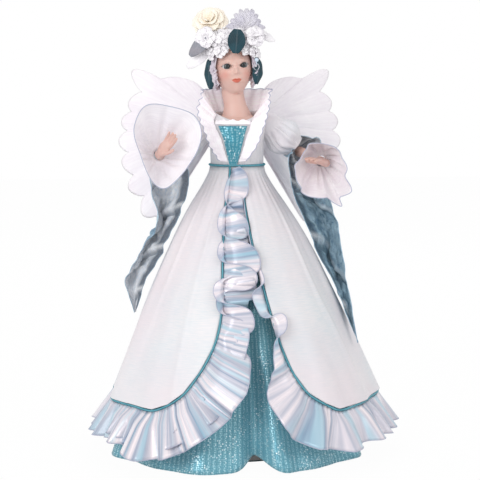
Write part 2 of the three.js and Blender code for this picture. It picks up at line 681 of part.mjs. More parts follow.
function makeHead() {
  const skull = solid(skullGeometry(0));
  const neck = solid(neckGeometry(0));
  const block = solid(bodyLoft(PLATE_Z + FIT, NECK_HOLE.z, 0, 20, 6));
  const plate = cutBy(block, armholes(BALL_RADIUS + 2 * FIT));
  const [wide, deep] = [HEAD.halfWidth * 0.9 - SKULL_WALL, HEAD.halfDepth - SKULL_WALL - 1];
  const hollow = solid(headEllipsoid(wide, deep, HEAD.halfHeight - SKULL_WALL - 4, 0, 0, 4, 14, 8));
  let head = skull.add(neck).add(plate).subtract(hollow).subtract(headSlab(CROWN_CUT, ABOVE_HEAD));
  for (const side of [-1, 1]) {
    const at = inHead(vec((side * EYE.spacing) / 2, -EYE.setBack, EYE.height));
    head = head.subtract(solid(ball(EYE.radius + FIT, at.toArray())));
    add(side < 0 ? 'right_eye' : 'left_eye', ball(EYE.radius, at.toArray()), GLASS);
  }
  add('shoulder_head', geometryOf(head), BISQUE);
  add('head_pate', geometryOf(skull.intersect(headSlab(CROWN_CUT + FIT, ABOVE_HEAD))), CALICO);
}

// Hair and headdress. Each flower is seated on what is under it: that, grown by the clearance, is cut away.

function wigOuter(grow) {
  const [side, back, top] = [HAIR_DEPTH.side + grow, HAIR_DEPTH.back + grow, HAIR_DEPTH.top + grow];
  return headEllipsoid(HEAD.halfWidth + side, HEAD.halfDepth + back, HEAD.halfHeight + top);
}

function wreathOuter(grow) {
  const { x, y, z, halfWidth, halfDepth, halfHeight } = WREATH;
  return headEllipsoid(halfWidth + grow, halfDepth + grow, halfHeight + grow, x, y, z);
}

function makeWig() {
  const { halfWidth, halfHeight, low, reach, front, chin } = FACE_OPENING;
  const face = mapped(new THREE.CylinderGeometry(1, 1, reach, 24),
    (p) => inHead(vec(p.x * halfWidth, p.y + front, p.z * halfHeight + low)));
  const inside = [solid(skullGeometry(FIT)), solid(neckGeometry(FIT))];
  const wig = cutBy(solid(wigOuter(0)), [...inside, solid(face), headSlab(-ABOVE_HEAD, chin)]);
  add('wig', geometryOf(wig), HAIR);
}

// A flower head: a flattened ball whose outline has petals, facing out along a direction.
function blossom(flower, grow = 0) {
  const out = vec(...flower.facing).normalize();
  const right = vec(0, 0, 1).cross(out).normalize();
  const up = out.clone().cross(right);
  return mapped(upright(4 * flower.petals, 8), (d) => {
    const lobe = 1 - flower.notch * (0.5 - 0.5 * Math.cos(flower.petals * Math.atan2(d.y, d.x)));
    const radius = (flower.radius + grow) * lobe;
    return vec(...flower.centre)
      .addScaledVector(right, d.x * radius)
      .addScaledVector(up, d.y * radius)
      .addScaledVector(out, d.z * (flower.depth + grow));
  });
}

// A leaf or petal: a pointed, cupped blade from its root to its tip.
function leaf({ root, tip, facing, width }, thickness) {
  const [a, b] = [vec(...root), vec(...tip)];
  const along = b.clone().sub(a);
  const across = along.clone().cross(vec(...facing)).normalize();
  const out = across.clone().cross(along).normalize();
  const at = (u, v) => {
    const half = (width / 2) * (0.12 + 0.88 * Math.sin(Math.PI * (0.08 + 0.86 * v)) ** 0.8);
    const s = 2 * u - 1;
    const cup = 2 * Math.sin(Math.PI * v) - 1.2 * s * s;
    return a.clone().lerp(b, v).addScaledVector(across, s * half).addScaledVector(out, cup);
  };
  return sheet(at, 4, 8, thickness);
}

function makeHeaddress() {
  const wigGrown = solid(wigOuter(FIT));
  const wreathGrown = solid(wreathOuter(FIT));
  const wreath = solid(wreathOuter(0)).subtract(wigGrown).subtract(headSlab(-ABOVE_HEAD, WREATH.low));
  add('headdress_wreath', geometryOf(wreath), PETAL);
  const seat = (name, form, under, material) => add(name, geometryOf(cutBy(form, under)), material);

  const roseGrown = solid(blossom(ROSE, FIT));
  seat('cream_rose', solid(blossom(ROSE)), [wreathGrown], CREAM);
  seat('lily_blossom', solid(blossom(LILY)), [wreathGrown, roseGrown], PETAL);

  const under = [wreathGrown, roseGrown, solid(blossom(LILY, FIT)), wigGrown, solid(skullGeometry(FIT))];
  for (const [name, blade] of Object.entries(BLADES)) {
    seat(name, solid(leaf(blade, CLOTH)), under, blade.leaf ? LEAF : PETAL);
  }

  const row = (places, radius) => places
    .map((place) => solid(ball(radius, place, 8, 6)))
    .reduce((all, one) => all.add(one));
  const besideLeaf = [...under, solid(leaf(BLADES.leaf_front, CLOTH + 2 * FIT))];
  seat('forehead_florets', row(FLORET.forehead, FLORET.radius), besideLeaf, PETAL);
  seat('side_florets', row(FLORET.temple, FLORET.radius), besideLeaf, PETAL);
  makeDrop(row(FLORET.temple, FLORET.radius + FIT));
}

// The pearl by the temple with a small eye under it, and the hoop that hangs in the eye.
function makeDrop(florets) {
  const eyeAt = HOOP.z + HOOP.radius - HOOP.wire - FIT + HOOP.eye;
  const eye = new THREE.TorusGeometry(HOOP.eye, HOOP.wire, 5, 10).rotateY(Math.PI / 2);
  eye.translate(HOOP.x, HOOP.y, eyeAt);
  const pearl = ball(HOOP.pearl, [HOOP.x, HOOP.y, eyeAt + HOOP.eye + HOOP.pearl - HOOP.wire], 10, 8);
  add('pearl_drop', geometryOf(solid(pearl).add(solid(eye)).subtract(florets)), PEARL);
  const hoop = new THREE.TorusGeometry(HOOP.radius, HOOP.wire, 5, 16).rotateX(Math.PI / 2);
  hoop.scale(HOOP.narrow, 1, 1);
  add('hoop_drop', hoop.translate(HOOP.x, HOOP.y, HOOP.z), STEEL);
}

// Bodice with its trimmings

const BODICE_GROW = 2 * FIT + CLOTH / 2 + 0.5;

function makeBodice() {
  const low = WAIST_Z + 2;
  const top = (angle) => NECKLINE_Z + 3 - 5 * bump(Math.sin(angle / 2), 0.3);
  const at = (u, v) => {
    const angle = u * 2 * Math.PI;
    return onBody(angle, lerp(low, top(angle), 1 - (1 - v) ** 1.7), BODICE_GROW);
  };
  const cloth = solid(ring(at, 20, 7, CLOTH));
  add('bodice', geometryOf(cutBy(cloth, armholes(BALL_RADIUS + 4 * FIT))), SATIN);

  const proud = BODICE_GROW + CLOTH / 2 + FIT + CLOTH / 2;
  const turn = radians(TRIM_TURN);
  const panel = (u, v) => {
    const half = radians(lerp(STOMACHER.lowHalf, STOMACHER.topHalf, v));
    const z = lerp(WAIST_Z + STOMACHER.rise, NECKLINE_Z - STOMACHER.drop, v);
    return onBody(turn + lerp(-half, half, u), z, proud);
  };
  add('stomacher', sheet(panel, 6, 5, CLOTH), SEQUIN);

  const lace = (u, v) => {
    const half = radians(LACE_BAND.half);
    const angle = lerp(-half, half, u);
    const scallop = LACE_BAND.scallop * Math.cos(LACE_BAND.scallops * angle);
    return onBody(turn + angle, NECKLINE_Z - LACE_BAND.drop + (LACE_BAND.width + scallop) * v, proud);
  };
  add('lace_edging', sheet(lace, 16, 1, SHEER), LACE);

  const cordAt = (angle) => onBody(angle, OVERSKIRT.topZ + WAIST_CORD_RADIUS + 2 * FIT, OVERSKIRT_EASE);
  add('waist_cord', loop(cordAt, WAIST_CORD_RADIUS, 32, 5), CORD);
}

// A closed cord round the figure: at(angle) is its middle line.
function loop(at, radius, around, sides) {
  const reach = 4;
  return mapped(new THREE.TorusGeometry(reach, 1, sides, around), (p) => {
    const angle = Math.atan2(p.y, p.x);
    const across = Math.hypot(p.x, p.y) - reach;
    const out = polar(1, angle, 0);
    return at(angle).addScaledVector(out, across * radius).add(vec(0, 0, p.z * radius));
  });
}

// The pleated ruffle that runs from the waist up one side of the front, round the neck and down the other.
function makeCollar() {
  const line = smoothLine(COLLAR_STATIONS.map((s) => vec(radians(s.angle), s.z, s.lift)));
  const form = smoothLine(COLLAR_STATIONS.map((s) => vec(s.width, s.spread, 0)));
  const at = (u, v) => {
    const side = u < 0.5 ? -1 : 1;
    const t = 1 - Math.abs(2 * u - 1);
    const seam = line.getPoint(t);
    const { x: width, y: spread } = form.getPoint(t);
    const angle = side * seam.x + radians(TRIM_TURN) * (1 - smooth(clamp(2 * t - 1, 0, 1)));
    const out = polar(1, angle, 0);
    const aside = vec(Math.cos(angle), Math.sin(angle), 0).multiplyScalar(side * spread);
    const rising = smooth(clamp(t * 1.4, 0, 1));
    const away = aside.addScaledVector(out, lerp(0.6, 0.45, rising));
    away.z = lerp(0.1, 1, rising);
    away.normalize();
    const pleat = COLLAR.pleatDepth * Math.sin(2 * Math.PI * COLLAR.pleats * u) * (0.25 + 0.75 * v);
    const foot = onBody(angle, seam.y, seam.z).addScaledVector(away, COLLAR.clear);
    return foot.addScaledVector(away, width * v).addScaledVector(out, pleat);
  };
  add('collar_ruffle', sheet(at, 4 * COLLAR.pleats, 1, SHEER), LACE);
}

// Arms

// Directions along an arm, up from it and to its back.
function armFrame(arm) {
  const shoulder = vec(...arm.shoulder);
  const elbow = vec(...arm.elbow);
  const wrist = vec(...arm.wrist);
  const along = elbow.clone().sub(shoulder).normalize();
  const up = vec(0, 0, 1).addScaledVector(along, -along.z).normalize();
  const back = along.clone().cross(up).multiplyScalar(-arm.side);
  const fore = wrist.clone().sub(elbow).normalize();
  return { shoulder, elbow, wrist, along, up, back, fore, length: elbow.distanceTo(shoulder) };
}

// A round solid from [radius, distance] points, laid along a direction from a start.
function turnedAlong(profile, segments, start, direction) {
  const turn = new THREE.Quaternion().setFromUnitVectors(vec(0, 0, 1), direction);
  return turned(profile, segments).applyQuaternion(turn).translate(start.x, start.y, start.z);
}

function makeArm(name, arm) {
  const f = armFrame(arm);
  const armEnd = f.length - FOREARM.elbowRadius - 2; // short of the forearm, so that the elbow can bend
  const endRadius = 4;
  const bore = UPPER_ARM_RADIUS + FIT;
  const wireBore = ARM_WIRE_RADIUS + FIT;
  const ballAt = (r) => -Math.sqrt(BALL_RADIUS ** 2 - r ** 2);

  const puffEnd = f.length - ELBOW_GAP;
  const puff = [];
  for (let i = 0; i <= 4; i++) {
    const a = lerp(Math.acos(bore / BALL_RADIUS), 0, i / 4);
    puff.push([BALL_RADIUS * Math.cos(a), -BALL_RADIUS * Math.sin(a)]);
  }
  for (let i = 1; i <= 7; i++) {
    const t = i / 8;
    const swell = Math.sin(Math.PI * t ** 1.2) ** 1.6;
    puff.push([lerp(BALL_RADIUS, PUFF.elbowRadius, t) + (PUFF.radius - BALL_RADIUS) * swell, puffEnd * t]);
  }
  puff.push([PUFF.elbowRadius, puffEnd], [bore, puffEnd], [bore, ballAt(bore)]);
  add(`${name}_puff_sleeve`, turnedAlong(puff, 16, f.shoulder, f.along), SATIN);

  add(`${name}_upper_arm`, turnedAlong([
    [wireBore, ballAt(bore)], [UPPER_ARM_RADIUS, ballAt(bore)], [UPPER_ARM_RADIUS, armEnd - 6],
    [endRadius, armEnd], [wireBore, armEnd], [wireBore, ballAt(bore)],
  ], 14, f.shoulder, f.along), CALICO);

  const wireEnd = f.length - FOREARM.elbowRadius - FIT;
  add(`${name}_arm_wire`, turnedAlong([
    [0, ballAt(bore)], [ARM_WIRE_RADIUS, ballAt(bore)], [ARM_WIRE_RADIUS, wireEnd], [0, wireEnd],
  ], 8, f.shoulder, f.along), STEEL);

  makeHand(name, arm, f);
  makeCuff(name, arm, f);
  makeHangingSleeve(name, arm, f);
}

// Bisque forearm, palm and fingers in one casting.
function makeHand(name, arm, f) {
  const reach = f.wrist.distanceTo(f.elbow);
  const { elbowRadius, wristRadius } = FOREARM;
  let hand = solid(turnedAlong([
    [0, -elbowRadius], [elbowRadius * 0.71, -elbowRadius * 0.71], [elbowRadius, 0],
    [elbowRadius, reach * 0.3], [wristRadius, reach], [wristRadius * 0.6, reach + 3], [0, reach + 4],
  ], 10, f.elbow, f.fore));
  const ahead = vec(...arm.fingers).normalize();
  const backOfHand = vec(...arm.palm);
  backOfHand.addScaledVector(ahead, -backOfHand.dot(ahead)).normalize();
  const thumbward = ahead.clone().cross(backOfHand).multiplyScalar(arm.side);
  const place = (x, y, z) => f.wrist.clone()
    .addScaledVector(ahead, x).addScaledVector(thumbward, y).addScaledVector(backOfHand, z);
  const [long, broad, thick] = HAND.palm;
  const palm = mapped(new THREE.SphereGeometry(1, 10, 8),
    (p) => place(long - 1 + long * p.x, broad * p.y, thick * p.z));
  hand = hand.add(solid(palm));
  const digit = (base, tip, radius) => {
    const [a, b] = [place(...base), place(...tip)];
    const length = a.distanceTo(b);
    const stick = new THREE.CapsuleGeometry(radius, length, 2, 6).rotateX(Math.PI / 2);
    stick.translate(0, 0, length / 2);
    const turn = new THREE.Quaternion().setFromUnitVectors(vec(0, 0, 1), b.sub(a).normalize());
    return solid(stick.applyQuaternion(turn).translate(a.x, a.y, a.z));
  };
  HAND.fingers.forEach((length, i) => {
    const y = HAND.pitch * (1.5 - i);
    hand = hand.add(digit([15, y * 0.9, 0], [17 + length, y * 1.2, -1.5], HAND.fingerRadius));
  });
  hand = hand.add(digit([6, 4.5, -1], [19, 10.5, -3], HAND.thumbRadius));
  add(`${name}_hand`, geometryOf(hand), BISQUE);
}

// Wide sheer cuff: a funnel from a ring on the forearm to a frilled rim.
function makeCuff(name, arm, f) {
  const ringAt = f.elbow.clone().lerp(f.wrist, CUFF.along);
  const side = vec(0, 0, 1).cross(f.fore).normalize();
  const top = f.fore.clone().cross(side);
  const rim = vec(...arm.rim.centre);
  const [across, up] = [vec(...arm.rim.across), vec(...arm.rim.up)];
  const outline = smoothLine(arm.rim.outline.map(([x, z]) => vec(x, z, 0)), true);
  const at = (u, v) => {
    const edge = outline.getPoint(u);
    const a = Math.atan2(edge.y, edge.x);
    const start = side.clone().multiplyScalar(CUFF.wristRadius * Math.cos(a))
      .addScaledVector(top, CUFF.wristRadius * Math.sin(a));
    const end = across.clone().multiplyScalar(edge.x).addScaledVector(up, edge.y);
    const frill = CUFF.frill * v * v * Math.sin(CUFF.frills * a);
    const middle = ringAt.clone().lerp(rim, v ** 1.4);
    return middle.add(start.lerp(end, v ** 0.8)).addScaledVector(f.fore, frill);
  };
  add(`${name}_cuff`, ring(at, 40, 2, SHEER), ORGANZA);
}

// Long hanging sleeve: wraps under and behind the elbow, is open in front and falls to a point by the skirt.
function makeHangingSleeve(name, arm, f) {
  const hug = PUFF.elbowRadius + 2 * FIT + CLOTH / 2;
  const start = f.shoulder.clone().addScaledVector(f.along, f.length - SLEEVE.above);
  const seam = (u) => {
    const a = lerp(radians(SLEEVE.from), radians(SLEEVE.to), u);
    return start.clone().addScaledVector(f.up, hug * Math.cos(a)).addScaledVector(f.back, hug * Math.sin(a));
  };
  const { inner, back, outer, tip } = arm.sleeve;
  const tipRadius = overskirtRadius(arm.side * radians(tip.angle), tip.z) + tip.gap;
  const point = (spread) => polar(tipRadius, arm.side * radians(tip.angle + spread), tip.z);
  const [front, middle, far] = [inner, back, outer].map((edge, i) => smoothLine(
    [seam(i / 2), ...edge.map((p) => vec(...p)), point(SLEEVE.tipSpread * (1 - i))]));
  const across = (a, b, c, u) => a.multiplyScalar(2 * (u - 0.5) * (u - 1))
    .addScaledVector(b, 4 * u * (1 - u)).addScaledVector(c, 2 * u * (u - 0.5));
  const at = (u, v) => {
    const bulge = seam(u).sub(across(seam(0), seam(0.5), seam(1), u));
    return across(front.getPoint(v), middle.getPoint(v), far.getPoint(v), u)
      .addScaledVector(bulge, 1 - smooth(clamp(v / 0.4, 0, 1)));
  };
  add(`${name}_hanging_sleeve`, sheet(at, 8, 14, CLOTH), LAME);
}

// Wings

// The outline of a wing with its rounded feathers.
function wingOutline() {
  const point = ([x, y]) => new THREE.Vector2(x, y);
  const lead = new THREE.SplineCurve(WING_LEAD.map(point)).getPoints(8);
  const outline = [point(WING_ROOT.top), ...lead];
  const steps = 6;
  let start = point(WING_LEAD[WING_LEAD.length - 1]);
  for (const feather of WING_FEATHERS) {
    const notch = point(feather.notch);
    const rise = point(feather.tip).sub(start.clone().add(notch).multiplyScalar(0.5));
    for (let i = 1; i <= steps; i++) {
      const t = i / steps;
      const full = i < steps ? Math.sin(Math.PI * t) ** 0.65 : 0;
      outline.push(start.clone().lerp(notch, t).addScaledVector(rise, full));
    }
    start = notch;
  }
  return new THREE.Shape([...outline, ...WING_TRAIL.map(point), point(WING_ROOT.low)]);
}

function makeBracket() {
  const plateBack = BUST.halfDepth * BACK_SHARE + BODICE_GROW + CLOTH / 2 + FIT;
  const plate = new THREE.BoxGeometry(BRACKET.width, BRACKET.thickness, BRACKET.height);
  let bracket = solid(plate.translate(0, plateBack + BRACKET.thickness / 2, BUST.z + BRACKET.height / 2 - 2));
  const height = HINGE.top - HINGE.low;
  const middle = WING.rootZ + (HINGE.top + HINGE.low) / 2;
  const upright = (radius, high) => new THREE.CylinderGeometry(radius, radius, high, 12).rotateX(Math.PI / 2);
  for (const side of [-1, 1]) {
    const socket = upright(HINGE.socketRadius, height).translate(side * WING.rootX, WING.rootY, middle);
    const web = new THREE.BoxGeometry(HINGE.web, WING.rootY - plateBack, height)
      .translate(side * WING.rootX, (WING.rootY + plateBack) / 2, middle);
    bracket = bracket.add(solid(socket)).add(solid(web));
  }
  for (const side of [-1, 1]) {
    const bore = upright(HINGE.pinRadius + FIT, 2 * height).translate(side * WING.rootX, WING.rootY, middle);
    bracket = bracket.subtract(solid(bore));
  }
  add('wing_bracket', geometryOf(bracket), STEEL);
}

function makeWings() {
  makeBracket();
  const sweep = radians(WING.sweep);
  for (const side of [-1, 1]) {
    const name = side < 0 ? 'right' : 'left';
    const place = (s, z, off) => vec(
      side * (WING.rootX + s * Math.cos(sweep)) - side * off * Math.sin(sweep),
      WING.rootY + s * Math.sin(sweep) + off * Math.cos(sweep),
      WING.rootZ + z,
    );
    const pad = new THREE.ExtrudeGeometry(wingOutline(), { depth: WING.thickness, bevelEnabled: false });
    const panel = solid(mapped(pad, (p) => place(p.x, p.y, p.z - WING.thickness / 2)));
    const pin = [[0, HINGE.low], [0, 0], [0, HINGE.top + 1.5]];
    const wire = [...pin, ...WING_WIRE].map(([s, z]) => place(s, z, 0));
    const channel = solid(tube(wire, HINGE.pinRadius + FIT, 16, 6));
    add(`${name}_wing_wire`, tube(wire, HINGE.pinRadius, 16, 6), STEEL);
    add(`${name}_wing`, geometryOf(panel.subtract(channel)), PLUSH);
  }
}

makeBody(makeStand().postTop);
makeSkirtCone();
makeUnderskirt();
makeOverskirt();
makeRuffles();
makeHead();
makeWig();
makeHeaddress();
makeBodice();
makeCollar();
for (const [name, arm] of Object.entries(ARMS)) makeArm(name, arm);
makeWings();

export default angel;
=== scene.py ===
"""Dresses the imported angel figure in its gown, hair, flowers and wings, and sets the studio round it."""
import math
import random

import bmesh
import bpy
from mathutils import Matrix, Vector, noise


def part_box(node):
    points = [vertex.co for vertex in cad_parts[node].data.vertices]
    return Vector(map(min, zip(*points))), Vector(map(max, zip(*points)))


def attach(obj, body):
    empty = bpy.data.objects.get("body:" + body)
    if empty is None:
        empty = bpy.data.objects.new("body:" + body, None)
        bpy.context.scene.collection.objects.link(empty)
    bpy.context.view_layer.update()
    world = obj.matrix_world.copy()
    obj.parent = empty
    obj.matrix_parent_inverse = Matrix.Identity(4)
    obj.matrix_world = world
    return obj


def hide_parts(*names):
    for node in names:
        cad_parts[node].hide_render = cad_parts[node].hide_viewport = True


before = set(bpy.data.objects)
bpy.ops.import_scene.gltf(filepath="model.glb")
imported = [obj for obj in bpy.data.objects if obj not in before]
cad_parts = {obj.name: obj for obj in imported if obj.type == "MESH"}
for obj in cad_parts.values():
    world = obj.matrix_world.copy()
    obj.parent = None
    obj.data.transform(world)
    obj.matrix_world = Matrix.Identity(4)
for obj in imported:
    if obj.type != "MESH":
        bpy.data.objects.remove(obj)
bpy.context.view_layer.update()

bl_info = {
    "name": "Porcelain Angel Figure",
    "version": (1, 0, 0),
    "blender": (4, 5, 0),
    "location": "View3D > Sidebar > Angel",
    "description": "Dresses a packed angel figure in cloth, hair, flowers and wings",
    "category": "Object",
}

# Shapes are worked out in millimetres, as in the part, and scaled to metres when a mesh is made.
MM = 0.001
FIT = 0.4  # gap between the part's pieces
CLOTH = 1.4  # thickness of the part's cloth

# Body, skirts and seams of the part
BODY_STATIONS = [(262, 22, 20), (292, 24.5, 20.5), (318, 25, 23.5), (338, 29, 18), (346, 20, 16)]
BACK_SHARE = 0.85
WAIST_Z = 292
NECKLINE_Z = 342
PLATE_Z = 324.4
UNDERSKIRT = {"top": 24, "hem": 135, "top_z": 287, "hem_z": 1.2}
OVERSKIRT = {"top": 28, "hem": 131, "top_z": 288.5, "hem_z": 61, "lean": 6}
SKIRT_BELL = 0.85
WAIST_RISE = 5  # how far the gathered top is drawn up under the waist cord
UNDERSKIRT_EASE = FIT + CLOTH / 2 + 0.2
OVERSKIRT_EASE = UNDERSKIRT_EASE + CLOTH + FIT
BODICE_GROW = 2 * FIT + CLOTH / 2 + 0.5
BODICE_EDGE = {"rise": 3, "back": 4, "front": 5}  # over the neckline, more at the back, less in front
TRIM_GROW = BODICE_GROW + CLOTH + FIT
OVERSKIRT_ROWS = 10
# Front opening: share of the way down the satin skirt, then degrees from the front on each side
OPENING = [
    (0.0, 22, 7), (0.15, 21, 6.5), (0.3, 18, 9), (0.45, 16, 12.5), (0.6, 14.5, 15.5), (0.72, 17, 18),
    (0.83, 23, 21.5), (0.92, 29.5, 27), (0.97, 36, 34), (1.0, 44, 40),
]
TRIM_TURN = math.radians(-12)
RUFFLE_SPLIT = math.radians(66)
HEM_SPLIT = RUFFLE_SPLIT + 3 * FIT / OVERSKIRT["hem"]
FLARE = math.radians(30)
# Where the front ruffles stop cascading and where the left one is turned back, as heights with the fades
CASCADE = {"low": 118, "fade": 34, "loose_from": 20}
TURNED_BACK = {"top": 180, "top_fade": 22, "low": 100, "low_fade": 26}
# The ruffle is narrower round the sides: where that starts on each side of the front, and where it stops
NARROW = {"share": 0.7, "start": {-1: 36, 1: 24}, "fade": 24, "stop": 135, "stop_fade": 35}
CLEFT = {"angle": math.radians(5), "width": math.radians(6.5), "depth": 26, "lift": 13}
# Places on the axis that the faces of the pieces round it point away from
SKIRT_MIDDLE = Vector((0, 0, 150))
RUFFLE_MIDDLE = Vector((0, 0, 120))
BODICE_MIDDLE = Vector((0, 0, 318))
LACE_MIDDLE = Vector((0, 0, 330))
COLLAR_MIDDLE = Vector((0, 0, 300))
NECK_MIDDLE = Vector((0, 0, 340))

# Head of the part
HEAD = Vector((-4.5, -2, 393))
HEAD_MATRIX = Matrix.Translation(HEAD) @ Matrix.Rotation(math.radians(4), 4, "Z") @ Matrix.Rotation(
    math.radians(-5), 4, "Y")
HEAD_INVERSE = HEAD_MATRIX.inverted()
SKULL = Vector((19.5, 22.5, 28))
EYE = {"spacing": 17, "height": 2.5, "set_back": 15.2}
LIDS = {"half_width": 4.3, "half_height": 2.2}
LASHES = 13
LOCKS = 28
PUPIL_BLACK = (0.004, 0.005, 0.008, 1)
EYE_WHITE = (0.66, 0.64, 0.64, 1)
WREATH = {"centre": Vector((1, 4, 30)), "half": Vector((34, 29, 14)), "florets": 96, "floret_depth": 6.5,
          "cushion_depth": 7}
GOLDEN_TURN = 2.39996
ANY_TURN = 6.28  # turns are drawn at random up to this angle
HOOP = {"x": 18, "y": -20, "z": 394.5, "radius": 3.3, "narrow": 0.8, "wire": 0.45, "eye": 1.4, "pearl": 2.2}

# Arms of the part: a fall is the hanging sleeve's cut width, cut length and area, in metres
BALL_RADIUS = 12.5
PUFF = {"radius": 18.5, "elbow": 12, "short": 9}
CUFF_RING = 5.7
CUFF_START = 0.8  # share of the way from the elbow to the wrist
ARMS = {
    "right": {
        "side": -1, "shoulder": (-34, 3, 333), "elbow": (-77, 11, 303), "wrist": (-82, -44, 308),
        "fingers": (0.5, -0.55, 0.66), "palm": (0.6, 0.75, 0.05),
        "rim": (-74, -70, 317), "across": (1, 0, 0), "up": (0, 0, 1), "flutes": 7, "flute_depth": 2.0,
        "outline": [(-33, 19), (-27, -8), (-14, -36), (-3, -41), (24, -13), (33, 12), (27, 29), (11, 37),
                    (-21, 40)],
        "inner": [(-56, -8, 299), (-49, -4, 272), (-62, 5, 236), (-75, 11, 206), (-92, 18, 174)],
        "back": [(-74, 30, 290), (-74, 36, 268), (-77, 40, 236), (-90, 38, 206), (-106, 38, 176)],
        "outer": [(-96, 6, 312), (-91, 8, 280), (-83, 12, 238), (-98, 20, 206), (-115, 24, 177)],
        "tip_z": 139, "tip_angle": 104, "tip_gap": 8, "fall": (0.12, 0.18, 0.0107),
        "cuff_finish": "sheer", "cuff_area": 0.0079, "puff_area": 0.0061,
    },
    "left": {
        "side": 1, "shoulder": (34, 3, 335), "elbow": (66, 10, 307), "wrist": (87, -36, 298),
        "fingers": (-0.62, -0.76, 0.22), "palm": (0.25, 0.1, 0.95),
        "rim": (83, -60, 288), "across": (1, -0.11, 0.07), "up": (-0.06, 0.1, 1),
        "flutes": 6, "flute_depth": 4.0,
        "outline": [(-29, 1), (-24, -15), (-17, -21), (0, -23), (9, -30), (15, -33), (13, -23), (23, -17),
                    (20, 2), (19, 16), (6, 29), (-18, 28)],
        "inner": [(52, -16, 308), (52, -13, 284), (68, -10, 236), (95, -17, 176)],
        "back": [(64, 28, 298), (74, 34, 276), (92, 36, 236), (106, 20, 176)],
        "outer": [(86, 4, 320), (90, -2, 290), (103, -6, 240), (114, -10, 178)],
        "tip_z": 114, "tip_angle": 74, "tip_gap": 7, "fall": (0.12, 0.2, 0.0163),
        "cuff_finish": "sheer_shaded", "cuff_area": 0.0056, "puff_area": 0.005,
    },
}

# Hanging sleeves: start before the elbow, folds down the cloth, their slant, the lip of each fold with its
# painted highlight, the painted shadow under it, and the cut
SLEEVE_START = 10
SLEEVE_TIERS = 4.4
SLEEVE_SLANT = 0.16
SLEEVE_LIP = 0.84
SLEEVE_SHADOW = 0.97
SLEEVE_CUT = (0.12, 0.2)

# Wings of the part: distance out from the hinge and height from it
WING = {"root": Vector((9, 28.5, 333)), "sweep": math.radians(27)}
WING_ROOT = [(10, 10), (10, -8)]
WING_LEAD = [(24, 37), (35, 45.5), (57, 51), (75, 49)]
# Each feather runs from the notch before it, over its tip, to its own notch.
WING_FEATHERS = [
    ((107, 58), (97, 35)), ((112, 25), (108, 14)), ((121, 4), (113, -7)), ((124.5, -18.5), (112, -30)),
    ((121, -42), (106, -54)), ((113, -69), (95, -76)), ((97, -96), (80, -96)), ((76, -103), (68, -86)),
]
WING_TRAIL = [(68, -86), (46, -48), (26, -22)]

# Where the lamps point, and the camera set by the photograph, in metres; its sensor and lens in millimetres
LAMP_AIM = Vector((0, 0, 0.24))
SENSOR = 36
CAMERA = {"azimuth": math.radians(-5), "distance": 1.7, "height": 0.4, "aim_z": 0.21674, "aim_right": 0.00309}
LENS = 124.26


def length(name, description, default):
    """A size that the user can set, in metres."""
    return bpy.props.FloatProperty(name=name, description=description, default=default, min=0, unit="LENGTH")


def colour(name, description, red, green, blue):
    """A colour that the user can set, from screen values of 0 to 255."""
    linear = [value / 255 / 12.92 if value < 11 else ((value / 255 + 0.055) / 1.055) ** 2.4
              for value in (red, green, blue)]
    return bpy.props.FloatVectorProperty(
        name=name, description=description, default=linear, size=3, min=0, max=1, subtype="COLOR")


class GownSizes(bpy.types.PropertyGroup):
    """Sizes of the gown's cloth, folds and trimmings."""
    cloth: length("Cloth", "Thickness of the gown's cloth", 0.0007)
    sheer: length("Sheer cloth", "Thickness of the ruffles and cuffs", 0.0004)
    underskirt_folds: length("Underskirt folds", "Depth of the sequinned skirt's hanging folds", 0.006)
    overskirt_folds: length("Overskirt folds", "Depth of the satin skirt's hanging folds", 0.004)
    gathers: length("Waist gathers", "Depth of the gathers under the waist cord", 0.0006)
    ruffle_width: length("Ruffle width", "Width of the hem ruffle from piping to edge", 0.052)
    ruffle_wave: length("Ruffle wave", "Depth of the ruffles' flutes", 0.0075)
    ruffle_pitch: length("Ruffle pitch", "Distance from one flute to the next", 0.027)
    piping: length("Piping radius", "Radius of the twisted cord on the skirt's edge", 0.001)
    waist_cord: length("Waist cord radius", "Radius of the twisted cord round the waist", 0.0011)
    thread: length("Thread radius", "Radius of the rolled thread on sheer edges", 0.00045)
    collar_pleats: length("Collar pleats", "Depth of the pleats of the collar", 0.0013)
    puff_folds: length("Puff folds", "Depth of the gathers of the puffed sleeves", 0.0013)
    crumple: length("Crumple", "Depth of the crumples in the hanging sleeves", 0.0022)
    cuff_folds: length("Cuff folds", "Depth of the folds that run out along the cuffs", 0.0016)


class FigureSizes(bpy.types.PropertyGroup):
    """Sizes of the head, the flowers and the wings."""
    eye: length("Eye radius", "Radius of a glass eye", 0.0046)
    lash: length("Lash length", "Length of the eyelashes", 0.0022)
    lock: length("Lock radius", "Radius of a lock of hair", 0.0026)
    floret: length("Floret radius", "Radius of the small flowers of the wreath", 0.0085)
    silk: length("Silk", "Thickness of the small flowers", 0.0003)
    petal: length("Petal thickness", "Thickness of the rose's and the lily's petals", 0.0004)
    leaf: length("Leaf thickness", "Thickness of the satin leaves", 0.0005)
    wing: length("Wing thickness", "Thickness of the padded wings", 0.005)
    feather: length("Feather relief", "Height of one row of feathers over the next", 0.0012)


